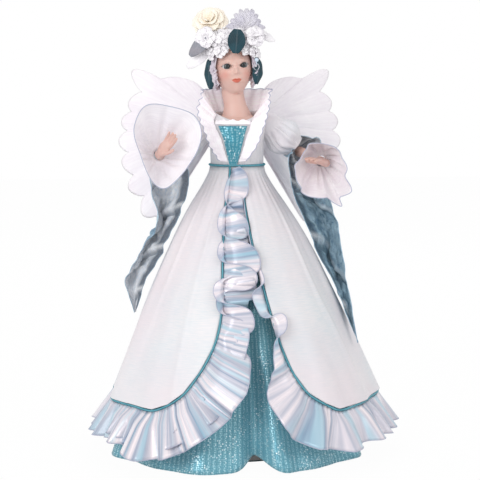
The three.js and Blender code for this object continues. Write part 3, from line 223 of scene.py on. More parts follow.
class FinishColours(bpy.types.PropertyGroup):
    """Colours of the finishes."""
    skin: colour("Bisque", "Skin of the porcelain", 216, 181, 170)
    blush: colour("Blush", "Painted cheeks", 216, 138, 122)
    lips: colour("Lips", "Painted lips", 202, 104, 84)
    brows: colour("Brows", "Painted brows and lash lines", 52, 34, 32)
    iris: colour("Iris", "Glass eyes", 16, 38, 46)
    hair: colour("Hair", "Light side of the wig", 236, 229, 235)
    hair_dark: colour("Hair shade", "Dark side of the wig", 176, 164, 180)
    satin: colour("Satin", "White shantung of the gown", 234, 232, 232)
    satin_tint: colour("Satin tint", "Cool slubs of the shantung", 206, 218, 224)
    satin_pink: colour("Satin blush", "Warm lights of the shantung", 229, 214, 220)
    teal: colour("Sequin cloth", "Sequinned cloth", 178, 221, 230)
    teal_dark: colour("Sequin shade", "Ground between the sequins", 102, 164, 182)
    panel_dark: colour("Panel shade", "Ground between the sequins of the bodice panel", 58, 138, 158)
    # Painted highlight of the sequins; the light streaks of the irises use it too
    glint: colour("Sequin glint", "Sequins that catch the light", 226, 244, 248)
    lame: colour("Metallic cloth", "Blue metallic cloth of the hanging sleeves", 204, 232, 244)
    lame_dark: colour("Metallic shade", "Creases of the metallic cloth", 58, 110, 148)
    # Painted shadow under the hanging sleeves' folds and along their inner edge
    lame_painted_shadow: colour("Metallic depths", "Shadows under the folds of the hanging sleeves", 34, 58, 82)
    lining: colour("Lining", "Silver lining of the hanging sleeves", 247, 249, 252)
    lining_dark: colour("Lining shade", "Creases of the lining", 166, 186, 206)
    satin_grey: colour("Lining band", "Grey satin band in the hanging sleeves", 120, 126, 140)
    organza: colour("Ruffle cloth", "Pale side of the iridescent ruffles", 246, 234, 237)
    # Painted sheen: blue and cyan streaks laid into the ruffle cloth stand in for its iridescence
    organza_blue_sheen: colour("Ruffle sheen", "Blue sheen of the ruffles", 126, 146, 172)
    organza_cyan_sheen: colour("Ruffle glow", "Streaks of the ruffles that turn cyan", 168, 212, 226)
    # Painted shade: the ruffles' inner side is a darker copy of the same ruffle cloth
    organza_underside_shade: colour("Ruffle underside", "Shaded side of the ruffles", 168, 180, 202)
    sheer: colour("Sheer cloth", "Sheer cuffs", 252, 250, 252)
    thread: colour("Thread", "Rolled thread on sheer edges", 190, 178, 196)
    cord: colour("Cord", "Twisted cords", 104, 176, 190)
    cord_dark: colour("Cord shade", "Grooves of the twisted cords", 52, 122, 140)
    lace_shade: colour("Lace shade", "Shaded folds of the collar and lace", 236, 227, 234)
    plush: colour("Plush", "Light side of the wings", 250, 247, 249)
    plush_tint: colour("Plush tint", "Shaded side of the wings", 236, 228, 236)
    petal: colour("Petals", "White petals", 251, 249, 250)
    petal_shade: colour("Petal shade", "Shaded petals", 232, 228, 235)
    lily_shade: colour("Lily shade", "Silver pleats of the lily", 192, 189, 204)
    cream: colour("Cream rose", "Petals of the rose", 254, 247, 235)
    cream_shade: colour("Rose shade", "Shaded petals of the rose", 247, 236, 220)
    leaf: colour("Leaves", "Dark satin leaves", 18, 50, 60)
    leaf_grey: colour("Grey leaf", "Grey satin leaf", 150, 146, 154)
    pearl: colour("Pearl", "Bead by the temple", 206, 222, 236)
    silver: colour("Silver", "Wires and steel parts", 196, 200, 206)
    wood: colour("Painted wood", "White-painted stand under the skirts", 236, 232, 228)
    felt: colour("Felt", "Felt under the stand", 54, 78, 66)
    calico: colour("Calico", "Stuffed body and skirt lining", 236, 228, 212)


def sizes():
    return bpy.context.scene.angel_gown


def figure():
    return bpy.context.scene.angel_figure


def tone(name):
    return (*getattr(bpy.context.scene.angel_colours, name), 1.0)


# Numbers and places

def lerp(a, b, t):
    return a + (b - a) * t


def clamp(x, low=0.0, high=1.0):
    return min(max(x, low), high)


def smooth(t):
    t = clamp(t)
    return t * t * (3 - 2 * t)


def bump(x, width):
    return math.exp(-((x / width) ** 2))


def polar(radius, angle, z):
    """A place at an angle from the front, towards the figure's left."""
    return Vector((radius * math.sin(angle), -radius * math.cos(angle), z))


def catmull(points, t, closed=False):
    """A point of the smooth curve through some points, for t from 0 to 1."""
    count = len(points)
    spans = count if closed else count - 1
    place = min(t * spans, spans - 1e-9)
    i = int(place)
    w = place - i

    def point(k):
        if closed:
            return points[k % count]
        if k < 0:
            return 2 * points[0] - points[1]
        return points[k] if k < count else 2 * points[-1] - points[-2]

    p0, p1, p2, p3 = (point(k) for k in range(i - 1, i + 3))
    d1 = math.sqrt((p2 - p1).length) or 1.0
    d0 = math.sqrt((p1 - p0).length) or d1
    d2 = math.sqrt((p3 - p2).length) or d1
    m1 = ((p1 - p0) / d0 - (p2 - p0) / (d0 + d1) + (p2 - p1) / d1) * d1
    m2 = ((p2 - p1) / d1 - (p3 - p1) / (d1 + d2) + (p3 - p2) / d2) * d1
    return p1 + m1 * w + (3 * (p2 - p1) - 2 * m1 - m2) * w ** 2 + (2 * (p1 - p2) + m1 + m2) * w ** 3


# Meshes

MERGE = 1e-3
TUBE_CUT = 0.01
PLY_RELIEF = 0.17


def add_grid(bm, at, across, along, cut=(1, 1), flip=False):
    """Adds a grid bent to at(u, v); its UV map is the cloth's own cut size."""
    uv = bm.loops.layers.uv.verify()
    verts = bmesh.ops.create_grid(bm, x_segments=across, y_segments=along, size=0.5)["verts"]
    faces = list({face for vert in verts for face in vert.link_faces})
    for face in faces:
        for loop in face.loops:
            loop[uv].uv = ((loop.vert.co.x + 0.5) * cut[0], (loop.vert.co.y + 0.5) * cut[1])
    for vert in verts:
        vert.co = at(vert.co.x + 0.5, vert.co.y + 0.5)
    bmesh.ops.remove_doubles(bm, verts=verts, dist=MERGE)
    if flip:
        bmesh.ops.reverse_faces(bm, faces=[face for face in faces if face.is_valid])


def bent_grid(at, across, along, cut=(1, 1), flip=False):
    bm = bmesh.new()
    add_grid(bm, at, across, along, cut, flip)
    return bm


def close_holes(bm, sides=0):
    """Caps the open ends of a mesh; sides limits how many edges a cap may have."""
    bmesh.ops.holes_fill(bm, edges=[edge for edge in bm.edges if edge.is_boundary], sides=sides)


def take_in(bm, shell):
    """Moves a finished shell into a mesh that is being built."""
    part = bpy.data.meshes.new("shell")
    shell.to_mesh(part)
    shell.free()
    bm.from_mesh(part)
    bpy.data.meshes.remove(part)


def add_tube(bm, path, radius, steps, sides, closed=False, twist=0.0, plies=0):
    """Adds a tube along path(t); radius is a number or a function of t, and plies twist round it."""
    points = [path(i / steps) for i in range(steps + 1)]
    frames = []
    side = None
    for i, here in enumerate(points):
        before = points[i - 1] if i else (points[-2] if closed else here)
        after = points[i + 1] if i < steps else (points[1] if closed else here)
        ahead = (after - before).normalized()
        guess = side if side else ahead.orthogonal()
        side = (guess - ahead * guess.dot(ahead)).normalized()
        frames.append((here, side.copy(), ahead.cross(side)))
    if closed:
        drift = math.atan2(frames[-1][1].dot(frames[0][2]), frames[-1][1].dot(frames[0][1]))
    else:
        drift = 0.0

    def at(u, v):
        here, right, up = frames[round(v * steps)]
        angle = 2 * math.pi * u - drift * v
        size = radius(v) if callable(radius) else radius
        if plies:
            size *= 1 + PLY_RELIEF * math.cos(plies * (angle - twist * v))
        return here + right * size * math.cos(angle) + up * size * math.sin(angle)

    span = sum((b - a).length for a, b in zip(points, points[1:]))
    add_grid(bm, at, sides, steps, cut=(TUBE_CUT, span * MM), flip=True)
    if not closed:
        close_holes(bm, sides)


def point_out(bm, middle):
    """Turns the faces so that most point away from a middle."""
    facing = sum(face.normal.dot(face.calc_center_median() - middle) * face.calc_area() for face in bm.faces)
    if facing < 0:
        bmesh.ops.reverse_faces(bm, faces=bm.faces)


def make_object(name, bm, *finishes):
    """A mesh object at the origin, from millimetres, in named finishes."""
    bm.normal_update()
    bmesh.ops.scale(bm, vec=(MM, MM, MM), verts=bm.verts)
    mesh = bpy.data.meshes.new(name)
    bm.to_mesh(mesh)
    bm.free()
    mesh.shade_smooth()
    for finish in finishes:
        mesh.materials.append(FINISHES[finish])
    obj = bpy.data.objects.new(name, mesh)
    bpy.context.scene.collection.objects.link(obj)
    return obj


def thicken(obj, thickness):
    """Gives a sheet its thickness; a second material goes on its inner side."""
    modifier = obj.modifiers.new("Thickness", "SOLIDIFY")
    modifier.thickness = thickness
    modifier.offset = 0
    if len(obj.data.materials) > 1:
        modifier.material_offset = 1
    return obj


def soften(obj):
    """Rounds a piece by one step of subdivision."""
    modifier = obj.modifiers.new("Smooth", "SUBSURF")
    modifier.levels = 1
    modifier.render_levels = 1


def set_piece(obj, body, slot, *nodes):
    """Makes a piece ride on a body, in place of its nodes."""
    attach(obj, body)
    if nodes:
        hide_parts(*nodes)
    return obj


def cloth_piece(name, bm, finishes, thickness, slot, node, body="figure"):
    """A sheet of cloth with its thickness, in place of its node."""
    return set_piece(thicken(make_object(name, bm, *finishes), thickness), body, slot, node)


# Finishes

def put(tree, kind, inputs=None, **settings):
    """Adds a node, sets its inputs from numbers or other nodes' outputs, and returns it."""
    made = tree.nodes.new(kind)
    for key, value in settings.items():
        setattr(made, key, value)
    for key, value in (inputs or {}).items():
        if isinstance(value, bpy.types.NodeSocket):
            tree.links.new(value, made.inputs[key])
        else:
            made.inputs[key].default_value = value
    return made


def maths(tree, operation, *values):
    return put(tree, "ShaderNodeMath", dict(enumerate(values)), operation=operation).outputs[0]


def apart(tree, a, b):
    """How far two values are apart."""
    return maths(tree, "ABSOLUTE", maths(tree, "SUBTRACT", a, b))


def times(tree, a, b):
    """The product of two values."""
    return maths(tree, "MULTIPLY", a, b)


def blend_colours(tree, factor, a, b):
    made = put(tree, "ShaderNodeMix", data_type="RGBA")
    for index, value in ((0, factor), (6, a), (7, b)):
        if isinstance(value, bpy.types.NodeSocket):
            tree.links.new(value, made.inputs[index])
        else:
            made.inputs[index].default_value = value
    return made.outputs[2]


def ramp(tree, value, low, high):
    """0 at low and 1 at high."""
    inputs = {"Value": value, "From Min": low, "From Max": high}
    return put(tree, "ShaderNodeMapRange", inputs).outputs["Result"]


def feed(tree, made, **values):
    """Links values to a node's inputs, whose names have spaces where the keys have underscores."""
    for key, value in values.items():
        tree.links.new(value, made.inputs[key.replace("_", " ")])


def effect(name, *outputs):
    """A node group with a place and a scale, and its output node, for values that change over a surface."""
    tree = bpy.data.node_groups.new(name, "ShaderNodeTree")
    tree.interface.new_socket("Vector", in_out="INPUT", socket_type="NodeSocketVector")
    tree.interface.new_socket("Scale", in_out="INPUT", socket_type="NodeSocketFloat")
    for socket in outputs:
        tree.interface.new_socket(socket, in_out="OUTPUT", socket_type="NodeSocketFloat")
    given = tree.nodes.new("NodeGroupInput")
    return tree, given.outputs["Vector"], given.outputs["Scale"], tree.nodes.new("NodeGroupOutput")


def weave_effect():
    """Crossing threads with slubs: Scale is threads to the metre."""
    tree, vector, scale, out = effect("Woven threads", "Height", "Shade")
    split = put(tree, "ShaderNodeSeparateXYZ", {0: vector})
    turns = times(tree, scale, 2 * math.pi)
    warp = maths(tree, "SINE", times(tree, split.outputs["X"], turns))
    weft = maths(tree, "SINE", times(tree, split.outputs["Y"], turns))
    slub_places = put(tree, "ShaderNodeMapping", {"Vector": vector, "Scale": (60, 900, 1)})
    slubs = put(tree, "ShaderNodeTexNoise", {"Vector": slub_places.outputs[0], "Scale": 1.0, "Detail": 3.0})
    height = maths(tree, "MULTIPLY_ADD", warp, weft, slubs.outputs["Fac"])
    feed(tree, out, Height=height, Shade=ramp(tree, slubs.outputs["Fac"], 0.35, 0.68))
    return tree


def sequin_effect():
    """Rows of small discs: Scale is discs to the metre."""
    tree, vector, scale, out = effect("Sequins", "Height", "Disc", "Glint")
    cells = put(tree, "ShaderNodeTexVoronoi", {"Vector": vector, "Scale": scale, "Randomness": 0.55},
                voronoi_dimensions="2D")
    disc = ramp(tree, cells.outputs["Distance"], 0.46, 0.34)
    chance = put(tree, "ShaderNodeSeparateXYZ", {0: cells.outputs["Color"]})
    # Glint: random discs painted in the glint colour, as painted highlights
    glint = times(tree, ramp(tree, chance.outputs["X"], 0.78, 0.92), disc)
    feed(tree, out, Height=times(tree, chance.outputs["Y"], disc), Disc=disc, Glint=glint)
    return tree


def crumple_effect():
    """Sharp creases between flat facets: Scale is facets to the metre."""
    tree, vector, scale, out = effect("Crumpled foil", "Height", "Shade")
    warped = put(tree, "ShaderNodeTexNoise", {
        "Vector": vector, "Scale": scale, "Detail": 4.0, "Roughness": 0.62})
    cells = put(tree, "ShaderNodeTexVoronoi", {
        "Vector": warped.outputs["Color"], "Scale": 5.0}, distance="MANHATTAN")
    height = maths(tree, "ADD", warped.outputs["Fac"], cells.outputs["Distance"])
    feed(tree, out, Height=height, Shade=ramp(tree, warped.outputs["Fac"], 0.34, 0.66))
    return tree


def fibre_effect():
    """Fine streaks along the second axis: Scale is fibres to the metre."""
    tree, vector, scale, out = effect("Fibres", "Height", "Shade")
    thin = put(tree, "ShaderNodeCombineXYZ", {"X": scale, "Y": times(tree, scale, 0.05), "Z": scale})
    places = put(tree, "ShaderNodeVectorMath", {0: vector, 1: thin.outputs[0]}, operation="MULTIPLY")
    streaks = put(tree, "ShaderNodeTexNoise", {"Vector": places.outputs[0], "Scale": 1.0, "Detail": 5.0})
    feed(tree, out, Height=streaks.outputs["Fac"], Shade=ramp(tree, streaks.outputs["Fac"], 0.3, 0.7))
    return tree


def mottle_effect():
    """Soft cloudy patches with a fine grain: Scale is patches to the metre."""
    tree, vector, scale, out = effect("Mottle", "Height", "Shade")
    clouds = put(tree, "ShaderNodeTexNoise", {"Vector": vector, "Scale": scale, "Detail": 3.0})
    grain = put(tree, "ShaderNodeTexNoise", {
        "Vector": vector, "Scale": times(tree, scale, 24), "Detail": 2.0})
    feed(tree, out, Height=grain.outputs["Fac"], Shade=ramp(tree, clouds.outputs["Fac"], 0.3, 0.7))
    return tree


EFFECTS = {}
FINISHES = {}
CLOUD_SHARE = 0.55


def place_effect(tree, name, scale, coordinates="UV"):
    """Places an effect in a material, on its UV map or its object coordinates."""
    source = put(tree, "ShaderNodeTexCoord").outputs[coordinates]
    return put(tree, "ShaderNodeGroup", {"Vector": source, "Scale": scale}, node_tree=EFFECTS[name])


def blank(name, sockets):
    """A new finish with its plain values set."""
    material = bpy.data.materials.new(name)
    material.use_nodes = True
    tree = material.node_tree
    shader = tree.nodes["Principled BSDF"]
    for key, value in sockets.items():
        shader.inputs[key].default_value = value
    FINISHES[name] = material
    return tree, shader


def uv_axes(tree):
    """The two directions of the piece's UV map."""
    split = put(tree, "ShaderNodeSeparateXYZ", {0: put(tree, "ShaderNodeTexCoord").outputs["UV"]})
    return split.outputs["X"], split.outputs["Y"]


def roughen(tree, shader, shade, dull, glossy):
    """Makes a finish dull where the shade is 0 and glossy where it is 1."""
    made = put(tree, "ShaderNodeMapRange", {"Value": shade, "To Min": dull, "To Max": glossy})
    feed(tree, shader, Roughness=made.outputs["Result"])


def emboss(tree, shader, height, strength, distance):
    """Raises a finish by a pattern's height; distance is in metres."""
    made = put(tree, "ShaderNodeBump", {"Height": height, "Strength": strength, "Distance": distance})
    feed(tree, shader, Normal=made.outputs["Normal"])


def patterned(name, low, high, pattern, scale, coordinates="UV", rough=(0.4, 0.6), relief=0.3, depth=0.0003,
              clouds=0.0, streaked=False, contrast=1.0, **sockets):
    """A finish between two colours whose roughness and bump follow the same effect.

    Broad clouds or streaks add to the shade, and rough gives the light and the dark colour's roughness.
    """
    tree, shader = blank(name, {key.replace("_", " "): value for key, value in sockets.items()})
    made = place_effect(tree, pattern, scale, coordinates)
    shade = made.outputs["Shade"]
    if clouds:
        kind, places = ("fibre", "UV") if streaked else ("mottle", "Object")
        broad = place_effect(tree, kind, clouds, places).outputs["Shade"]
        fine = times(tree, shade, 1 - CLOUD_SHARE)
        shade = maths(tree, "MULTIPLY_ADD", broad, CLOUD_SHARE, fine)
    shade = ramp(tree, shade, 0.5 - 0.5 / contrast, 0.5 + 0.5 / contrast)
    feed(tree, shader, Base_Color=blend_colours(tree, shade, tone(low), tone(high)))
    roughen(tree, shader, shade, rough[1], rough[0])
    emboss(tree, shader, made.outputs["Height"], relief, depth)
    return tree


def tint(tree, mask, share, colour_over):
    """Lays a share of a second colour over a finish where a mask is light."""
    base = tree.nodes["Principled BSDF"].inputs["Base Color"]
    under = base.links[0].from_socket
    tree.links.new(blend_colours(tree, times(tree, mask, share), under, colour_over), base)


def satin_finish():
    """Shantung whose white turns cool and warm in broad patches."""
    tree = patterned("satin", "satin_tint", "satin", "weave", 1400.0, rough=(0.38, 0.6), relief=0.18,
                     depth=0.0002, clouds=14.0, Sheen_Weight=0.1)
    patches = place_effect(tree, "mottle", 9.0, "Object").outputs["Shade"]
    tint(tree, patches, 0.75, tone("satin_pink"))


def organza_finish(name, shade, scale):
    """Gathered iridescent cloth with streaks away from its seam between a shade colour and the pale cloth,
    some of them turning cyan; the blue and cyan streaks are painted sheen.
    """
    tree = patterned(name, shade, "organza", "fibre", scale, rough=(0.24, 0.4), relief=0.2, depth=0.0006,
                     clouds=0.4 * scale, streaked=True, contrast=2.0, Metallic=0.08, Coat_Weight=0.2)
    # Painted sheen: random streaks turn cyan
    streaks = ramp(tree, place_effect(tree, "fibre", 0.7 * scale).outputs["Shade"], 0.5, 0.8)
    tint(tree, streaks, 0.55, tone("organza_cyan_sheen"))


RIBS_TO_THE_METRE = 180


def sequin_finish(name, scale, dark, light):
    """Sequinned cloth with ribs on a dark ground; light is how much of the lighter colour shows. Discs along
    the ribs are painted lighter, random patches are painted darker as fold shade, and clusters of discs carry
    painted glints.
    """
    tree, shader = blank(name, {"Sheen Weight": 0.1})
    made = place_effect(tree, "sequins", scale)
    folds = place_effect(tree, "mottle", 22.0, "Object")
    across = uv_axes(tree)[0]
    ribs = maths(tree, "SINE", times(tree, across, 2 * math.pi * RIBS_TO_THE_METRE))
    # Painted light: discs along the ribs are lighter
    lit = times(tree, times(tree, made.outputs["Disc"], ramp(tree, ribs, -1.0, 0.9)), light)
    clusters = ramp(tree, place_effect(tree, "mottle", 75.0, "Object").outputs["Shade"], 0.38, 0.7)
    glints = times(tree, made.outputs["Glint"], clusters)
    ground = blend_colours(tree, lit, tone(dark), tone("teal"))
    # Painted fold shade: random patches darkened towards the ground colour
    shaded = blend_colours(tree, times(tree, folds.outputs["Shade"], 0.35), ground, tone(dark))
    feed(tree, shader, Base_Color=blend_colours(tree, glints, shaded, tone("glint")))
    feed(tree, shader, Metallic=times(tree, made.outputs["Disc"], 0.45))
    roughen(tree, shader, made.outputs["Disc"], 0.75, 0.28)
    emboss(tree, shader, made.outputs["Height"], 0.6, 0.0006)


FACE_MASKS = ("blush", "lips", "brows")


def bisque_finish():
    """Matt porcelain skin with painted lips, cheeks, brows and lash lines from the piece's own masks."""
    tree, shader = blank("bisque", {"Roughness": 0.42, "Subsurface Weight": 0.12})
    shader.inputs["Subsurface Radius"].default_value = (0.004, 0.002, 0.0015)
    made = place_effect(tree, "mottle", 60.0, "Object")
    flush = times(tree, made.outputs["Shade"], 0.12)
    warm = blend_colours(tree, flush, tone("skin"), tone("blush"))
    for mask in FACE_MASKS:
        paint = put(tree, "ShaderNodeAttribute", attribute_name=mask).outputs["Fac"]
        warm = blend_colours(tree, paint, warm, tone(mask))
    feed(tree, shader, Base_Color=warm)
    emboss(tree, shader, made.outputs["Height"], 0.05, 0.0002)


def eye_finish():
    """Glass eye: the UV map runs from the middle of the pupil round to the back."""
    tree, shader = blank("eye_glass", {"Roughness": 0.22, "Coat Weight": 0.15, "Coat Roughness": 0.05})
    source = put(tree, "ShaderNodeTexCoord").outputs["UV"]
    back = put(tree, "ShaderNodeSeparateXYZ", {0: source}).outputs["Y"]
    noisy = put(tree, "ShaderNodeTexNoise", {"Vector": source, "Scale": 18.0, "Detail": 3.0})
    rays = times(tree, noisy.outputs["Fac"], 0.16)
    iris = blend_colours(tree, rays, tone("iris"), tone("glint"))
    ringed = blend_colours(tree, ramp(tree, back, 0.26, 0.15), tone("brows"), iris)
    pupil = blend_colours(tree, ramp(tree, back, 0.13, 0.115), ringed, PUPIL_BLACK)
    white = blend_colours(tree, ramp(tree, back, 0.262, 0.285), pupil, EYE_WHITE)
    feed(tree, shader, Base_Color=white)


def lining_finish(name, upper, lower):
    """Crumpled inner side of a hanging sleeve, in one cloth at its mouth and another to its point, with a
    painted highlight on the lip of each fold and painted shadow under it and along the inner edge.
    """
    tree, shader = blank(name, {"Metallic": 0.15})
    made = place_effect(tree, "crumple", 200.0)
    specks = place_effect(tree, "crumple", 1300.0).outputs["Shade"]
    shade = maths(tree, "MULTIPLY_ADD", specks, 0.6, times(tree, made.outputs["Shade"], 0.4))
    shade = ramp(tree, shade, 0.24, 0.56)
    across, down = uv_axes(tree)
    ragged = maths(tree, "MULTIPLY_ADD", made.outputs["Shade"], 0.03, down)
    mouth, point = (blend_colours(tree, shade, tone(dark), tone(light)) for dark, light in (upper, lower))
    cloth = blend_colours(tree, ramp(tree, ragged, 0.1, 0.115), mouth, point)
    slope = times(tree, across, SLEEVE_SLANT / SLEEVE_CUT[0])
    slant = maths(tree, "SUBTRACT", maths(tree, "DIVIDE", down, SLEEVE_CUT[1]), slope)
    tier = maths(tree, "FRACT", times(tree, slant, SLEEVE_TIERS))
    # Painted highlight along the lip of each fold, painted shadow just under it and painted shadow along the
    # sleeve's inner edge
    edge = ramp(tree, apart(tree, tier, SLEEVE_LIP), 0.09, 0.01)
    under = ramp(tree, apart(tree, tier, SLEEVE_SHADOW), 0.12, 0.02)
    rim = ramp(tree, across, 0.018, 0.01)
    depths = maths(tree, "MAXIMUM", times(tree, under, 0.6), times(tree, rim, 0.8))
    # The painted shadows darken the cloth, then the painted highlights lighten it
    dim = blend_colours(tree, depths, cloth, tone("lame_painted_shadow"))
    lit = blend_colours(tree, times(tree, edge, 0.6), dim, tone("lining"))
    feed(tree, shader, Base_Color=lit)
    roughen(tree, shader, shade, 0.42, 0.22)
    emboss(tree, shader, made.outputs["Height"], 0.6, 0.0012)


VEINS = 7


def leaf_finish(name, face):
    """Satin leaf with a light midrib and veins across the UV map."""
    tree, shader = blank(name, {"Roughness": 0.5, "Specular IOR Level": 0.3})
    across, along = uv_axes(tree)
    off = apart(tree, across, 0.5)
    rib = ramp(tree, off, 0.05, 0.0)
    slant = times(tree, maths(tree, "ADD", along, off), 2 * math.pi * VEINS)
    veins = ramp(tree, maths(tree, "SINE", slant), 0.86, 1.0)
    lines = maths(tree, "MAXIMUM", rib, times(tree, veins, 0.5))
    made = place_effect(tree, "mottle", 70.0, "Object")
    clouds = times(tree, made.outputs["Shade"], 0.2)
    blade = blend_colours(tree, clouds, tone(face), tone("cord_dark"))
    veined = blend_colours(tree, times(tree, lines, 0.07), blade, tone("petal_shade"))
    feed(tree, shader, Base_Color=veined)
    emboss(tree, shader, lines, 0.5, 0.0004)


def make_finishes():
    EFFECTS.update(weave=weave_effect(), sequins=sequin_effect(), crumple=crumple_effect(),
                   fibre=fibre_effect(), mottle=mottle_effect())
    satin_finish()
    organza_finish("organza", "organza_blue_sheen", 75.0)
    # A shaded copy of the ruffle finish for the ruffles' inner side: painted shade
    organza_finish("organza_shaded", "organza_underside_shade", 75.0)
    # The sheer cuffs glow faintly in their own white to lift their shade: painted light
    patterned("sheer", "petal_shade", "sheer", "weave", 1600.0, relief=0.12, clouds=30.0, Alpha=0.93,
              Sheen_Weight=0.2, Emission_Color=tone("sheer"), Emission_Strength=0.06)
    patterned("sheer_shaded", "lace_shade", "plush", "weave", 1600.0, relief=0.12, clouds=50.0, contrast=1.5,
              Alpha=0.93, Sheen_Weight=0.2)
    # The lace glows faintly white to lift its shade: painted light
    patterned("lace", "lace_shade", "plush", "weave", 900.0, rough=(0.5, 0.75), clouds=90.0, contrast=1.6,
              Emission_Color=tone("plush"), Emission_Strength=0.1)
    patterned("lame", "lame_dark", "lame", "crumple", 260.0, rough=(0.2, 0.4), relief=0.6, depth=0.0012,
              clouds=36.0, Metallic=0.5)
    patterned("cord", "cord_dark", "cord", "fibre", 900.0, rough=(0.35, 0.6))
    patterned("thread", "lining_dark", "thread", "fibre", 1500.0)
    patterned("plush", "plush_tint", "plush", "fibre", 420.0, rough=(0.8, 0.95), relief=0.6, depth=0.001,
              clouds=24.0, Sheen_Weight=0.4)
    patterned("hair", "hair_dark", "hair", "fibre", 1100.0, rough=(0.35, 0.55), relief=0.6, depth=0.0004,
              Sheen_Weight=0.1)
    patterned("petal", "petal_shade", "petal", "fibre", 700.0, rough=(0.55, 0.75), clouds=60.0,
              Sheen_Weight=0.2)
    patterned("cream", "cream_shade", "cream", "mottle", 90.0, "Object", rough=(0.5, 0.7), relief=0.1)
    patterned("wood", "petal_shade", "wood", "fibre", 300.0, "Object")
    patterned("felt", "cord_dark", "felt", "mottle", 400.0, "Object", rough=(0.9, 1.0), relief=0.5)
    patterned("calico", "petal_shade", "calico", "mottle", 90.0, "Object", rough=(0.8, 0.95))
    patterned("silver", "satin_grey", "silver", "mottle", 60.0, "Object", rough=(0.2, 0.35), relief=0.05,
              Metallic=1.0)
    patterned("pearl", "lining_dark", "pearl", "mottle", 200.0, "Object", rough=(0.12, 0.25), relief=0.02,
              Coat_Weight=0.6)
    patterned("lash", "cord_dark", "brows", "fibre", 900.0, rough=(0.5, 0.7))
    patterned("lily", "lily_shade", "petal", "fibre", 420.0, rough=(0.35, 0.55), relief=0.4, clouds=60.0,
              Sheen_Weight=0.2)
    lining_finish("right_lining", ("lining_dark", "lining"), ("lining_dark", "lining"))
    lining_finish("left_lining", ("satin_grey", "silver"), ("lame_dark", "lame"))
    sequin_finish("sequin", 520.0, "teal_dark", 1.0)
    sequin_finish("sequin_panel", 420.0, "panel_dark", 0.5)
    bisque_finish()
    eye_finish()
    leaf_finish("leaf", "leaf")
    leaf_finish("grey_leaf", "leaf_grey")


# Body and skirts

def body_at(z, grow=0.0):
    """Half width and half depth of the body at a height."""
    i = 0
    while i < len(BODY_STATIONS) - 2 and z > BODY_STATIONS[i + 1][0]:
        i += 1
    low, high = BODY_STATIONS[i], BODY_STATIONS[i + 1]
    t = smooth((z - low[0]) / (high[0] - low[0]))
    return lerp(low[1], high[1], t) + grow, lerp(low[2], high[2], t) + grow


def on_body(angle, z, grow=0.0):
    wide, deep = body_at(z, grow)
    if math.cos(angle) < 0:
        deep = (deep - grow) * BACK_SHARE + grow
    return Vector((wide * math.sin(angle), -deep * math.cos(angle), z))


def skirt_radius(skirt, z):
    share = clamp((skirt["top_z"] - z) / (skirt["top_z"] - skirt["hem_z"]))
    return lerp(skirt["top"], skirt["hem"], share ** SKIRT_BELL)


def drawn_in(point, angle, share, ease):
    """A point of a skirt drawn in to the body at the waist."""
    return point.lerp(on_body(angle, point.z, ease), (1 - share) ** 14)


def hanging_folds(angle, share, count, phase):
    """Two rounds of folds that deepen down a skirt."""
    broad = 0.6 * math.cos(count * angle + phase)
    narrow = 0.4 * math.cos((2 * count - 3) * angle - 2 * phase)
    return share * (broad + narrow)


def turn_from(angle, middle):
    """The turn from a middle to an angle, the shorter way round."""
    return math.atan2(math.sin(angle - middle), math.cos(angle - middle))


def underskirt_point(u, v):
    """The sequinned skirt, with the deep fold at the front of its hem."""
    angle = 2 * math.pi * u
    fold = bump(turn_from(angle, CLEFT["angle"]), CLEFT["width"])
    z = lerp(UNDERSKIRT["top_z"], UNDERSKIRT["hem_z"], v) + CLEFT["lift"] * fold * v ** 12
    depth = sizes().underskirt_folds / MM
    folds = depth * (hanging_folds(angle, v, 8, -2.2) - v)
    ripple = 0.9 * v * noise.noise(Vector((9 * math.sin(angle), 9 * math.cos(angle), z / 60)))
    radius = skirt_radius(UNDERSKIRT, z) + folds + ripple - CLEFT["depth"] * fold * v ** 3
    return drawn_in(polar(radius, angle, z), angle, v, UNDERSKIRT_EASE)


def overskirt_share(z):
    return clamp((OVERSKIRT["top_z"] - z) / (OVERSKIRT["top_z"] - OVERSKIRT["hem_z"]))


def overskirt_radius(angle, z):
    """Radius before the folds: the satin skirt stands out further on the figure's left."""
    return skirt_radius(OVERSKIRT, z) + OVERSKIRT["lean"] * overskirt_share(z) * (1 + math.sin(angle))


def overskirt_point(angle, z):
    share = overskirt_share(z)
    folds = sizes().overskirt_folds / MM * hanging_folds(angle, share, 7, 2.2)
    folds *= smooth(1.4 * (1 - math.cos(angle)))
    point = drawn_in(polar(overskirt_radius(angle, z) + folds, angle, z), angle, share, OVERSKIRT_EASE)
    return point + Vector((0, 0, WAIST_RISE * (1 - share) ** 8))


def gathered_overskirt_point(angle, z):
    """The satin skirt with the gathers under its waist cord and soft creases."""
    share = overskirt_share(z)
    place = Vector((3.5 * math.sin(angle), 3.5 * math.cos(angle), z / 190))
    wander = 2.2 * noise.noise(place)
    fade = smooth(share * 14) * (1 - share) ** 6
    gathers = sizes().gathers / MM * fade * (1 + math.cos(34 * angle + wander))
    long_fold = 2.2 * smooth(share * 3) * (1 - 0.5 * share) * max(0.0, math.sin(9 * angle + 2 * wander)) ** 2
    creases = 2.2 * share * noise.noise(place * 1.6)
    return overskirt_point(angle, z) + polar(gathers + long_fold + creases, angle, 0)


def opening_angle(side, z):
    """Angle of a front edge of the satin skirt at a height; side is -1 on the figure's right."""
    share = overskirt_share(z)
    column = 1 if side < 0 else 2
    i = 1
    while OPENING[i][0] < share:
        i += 1
    above, below = OPENING[i - 1], OPENING[i]
    return math.radians(lerp(above[column], below[column], (share - above[0]) / (below[0] - above[0])))


def overskirt_height(v):
    return lerp(OVERSKIRT["hem_z"], OVERSKIRT["top_z"], (1 - v) ** 1.6)


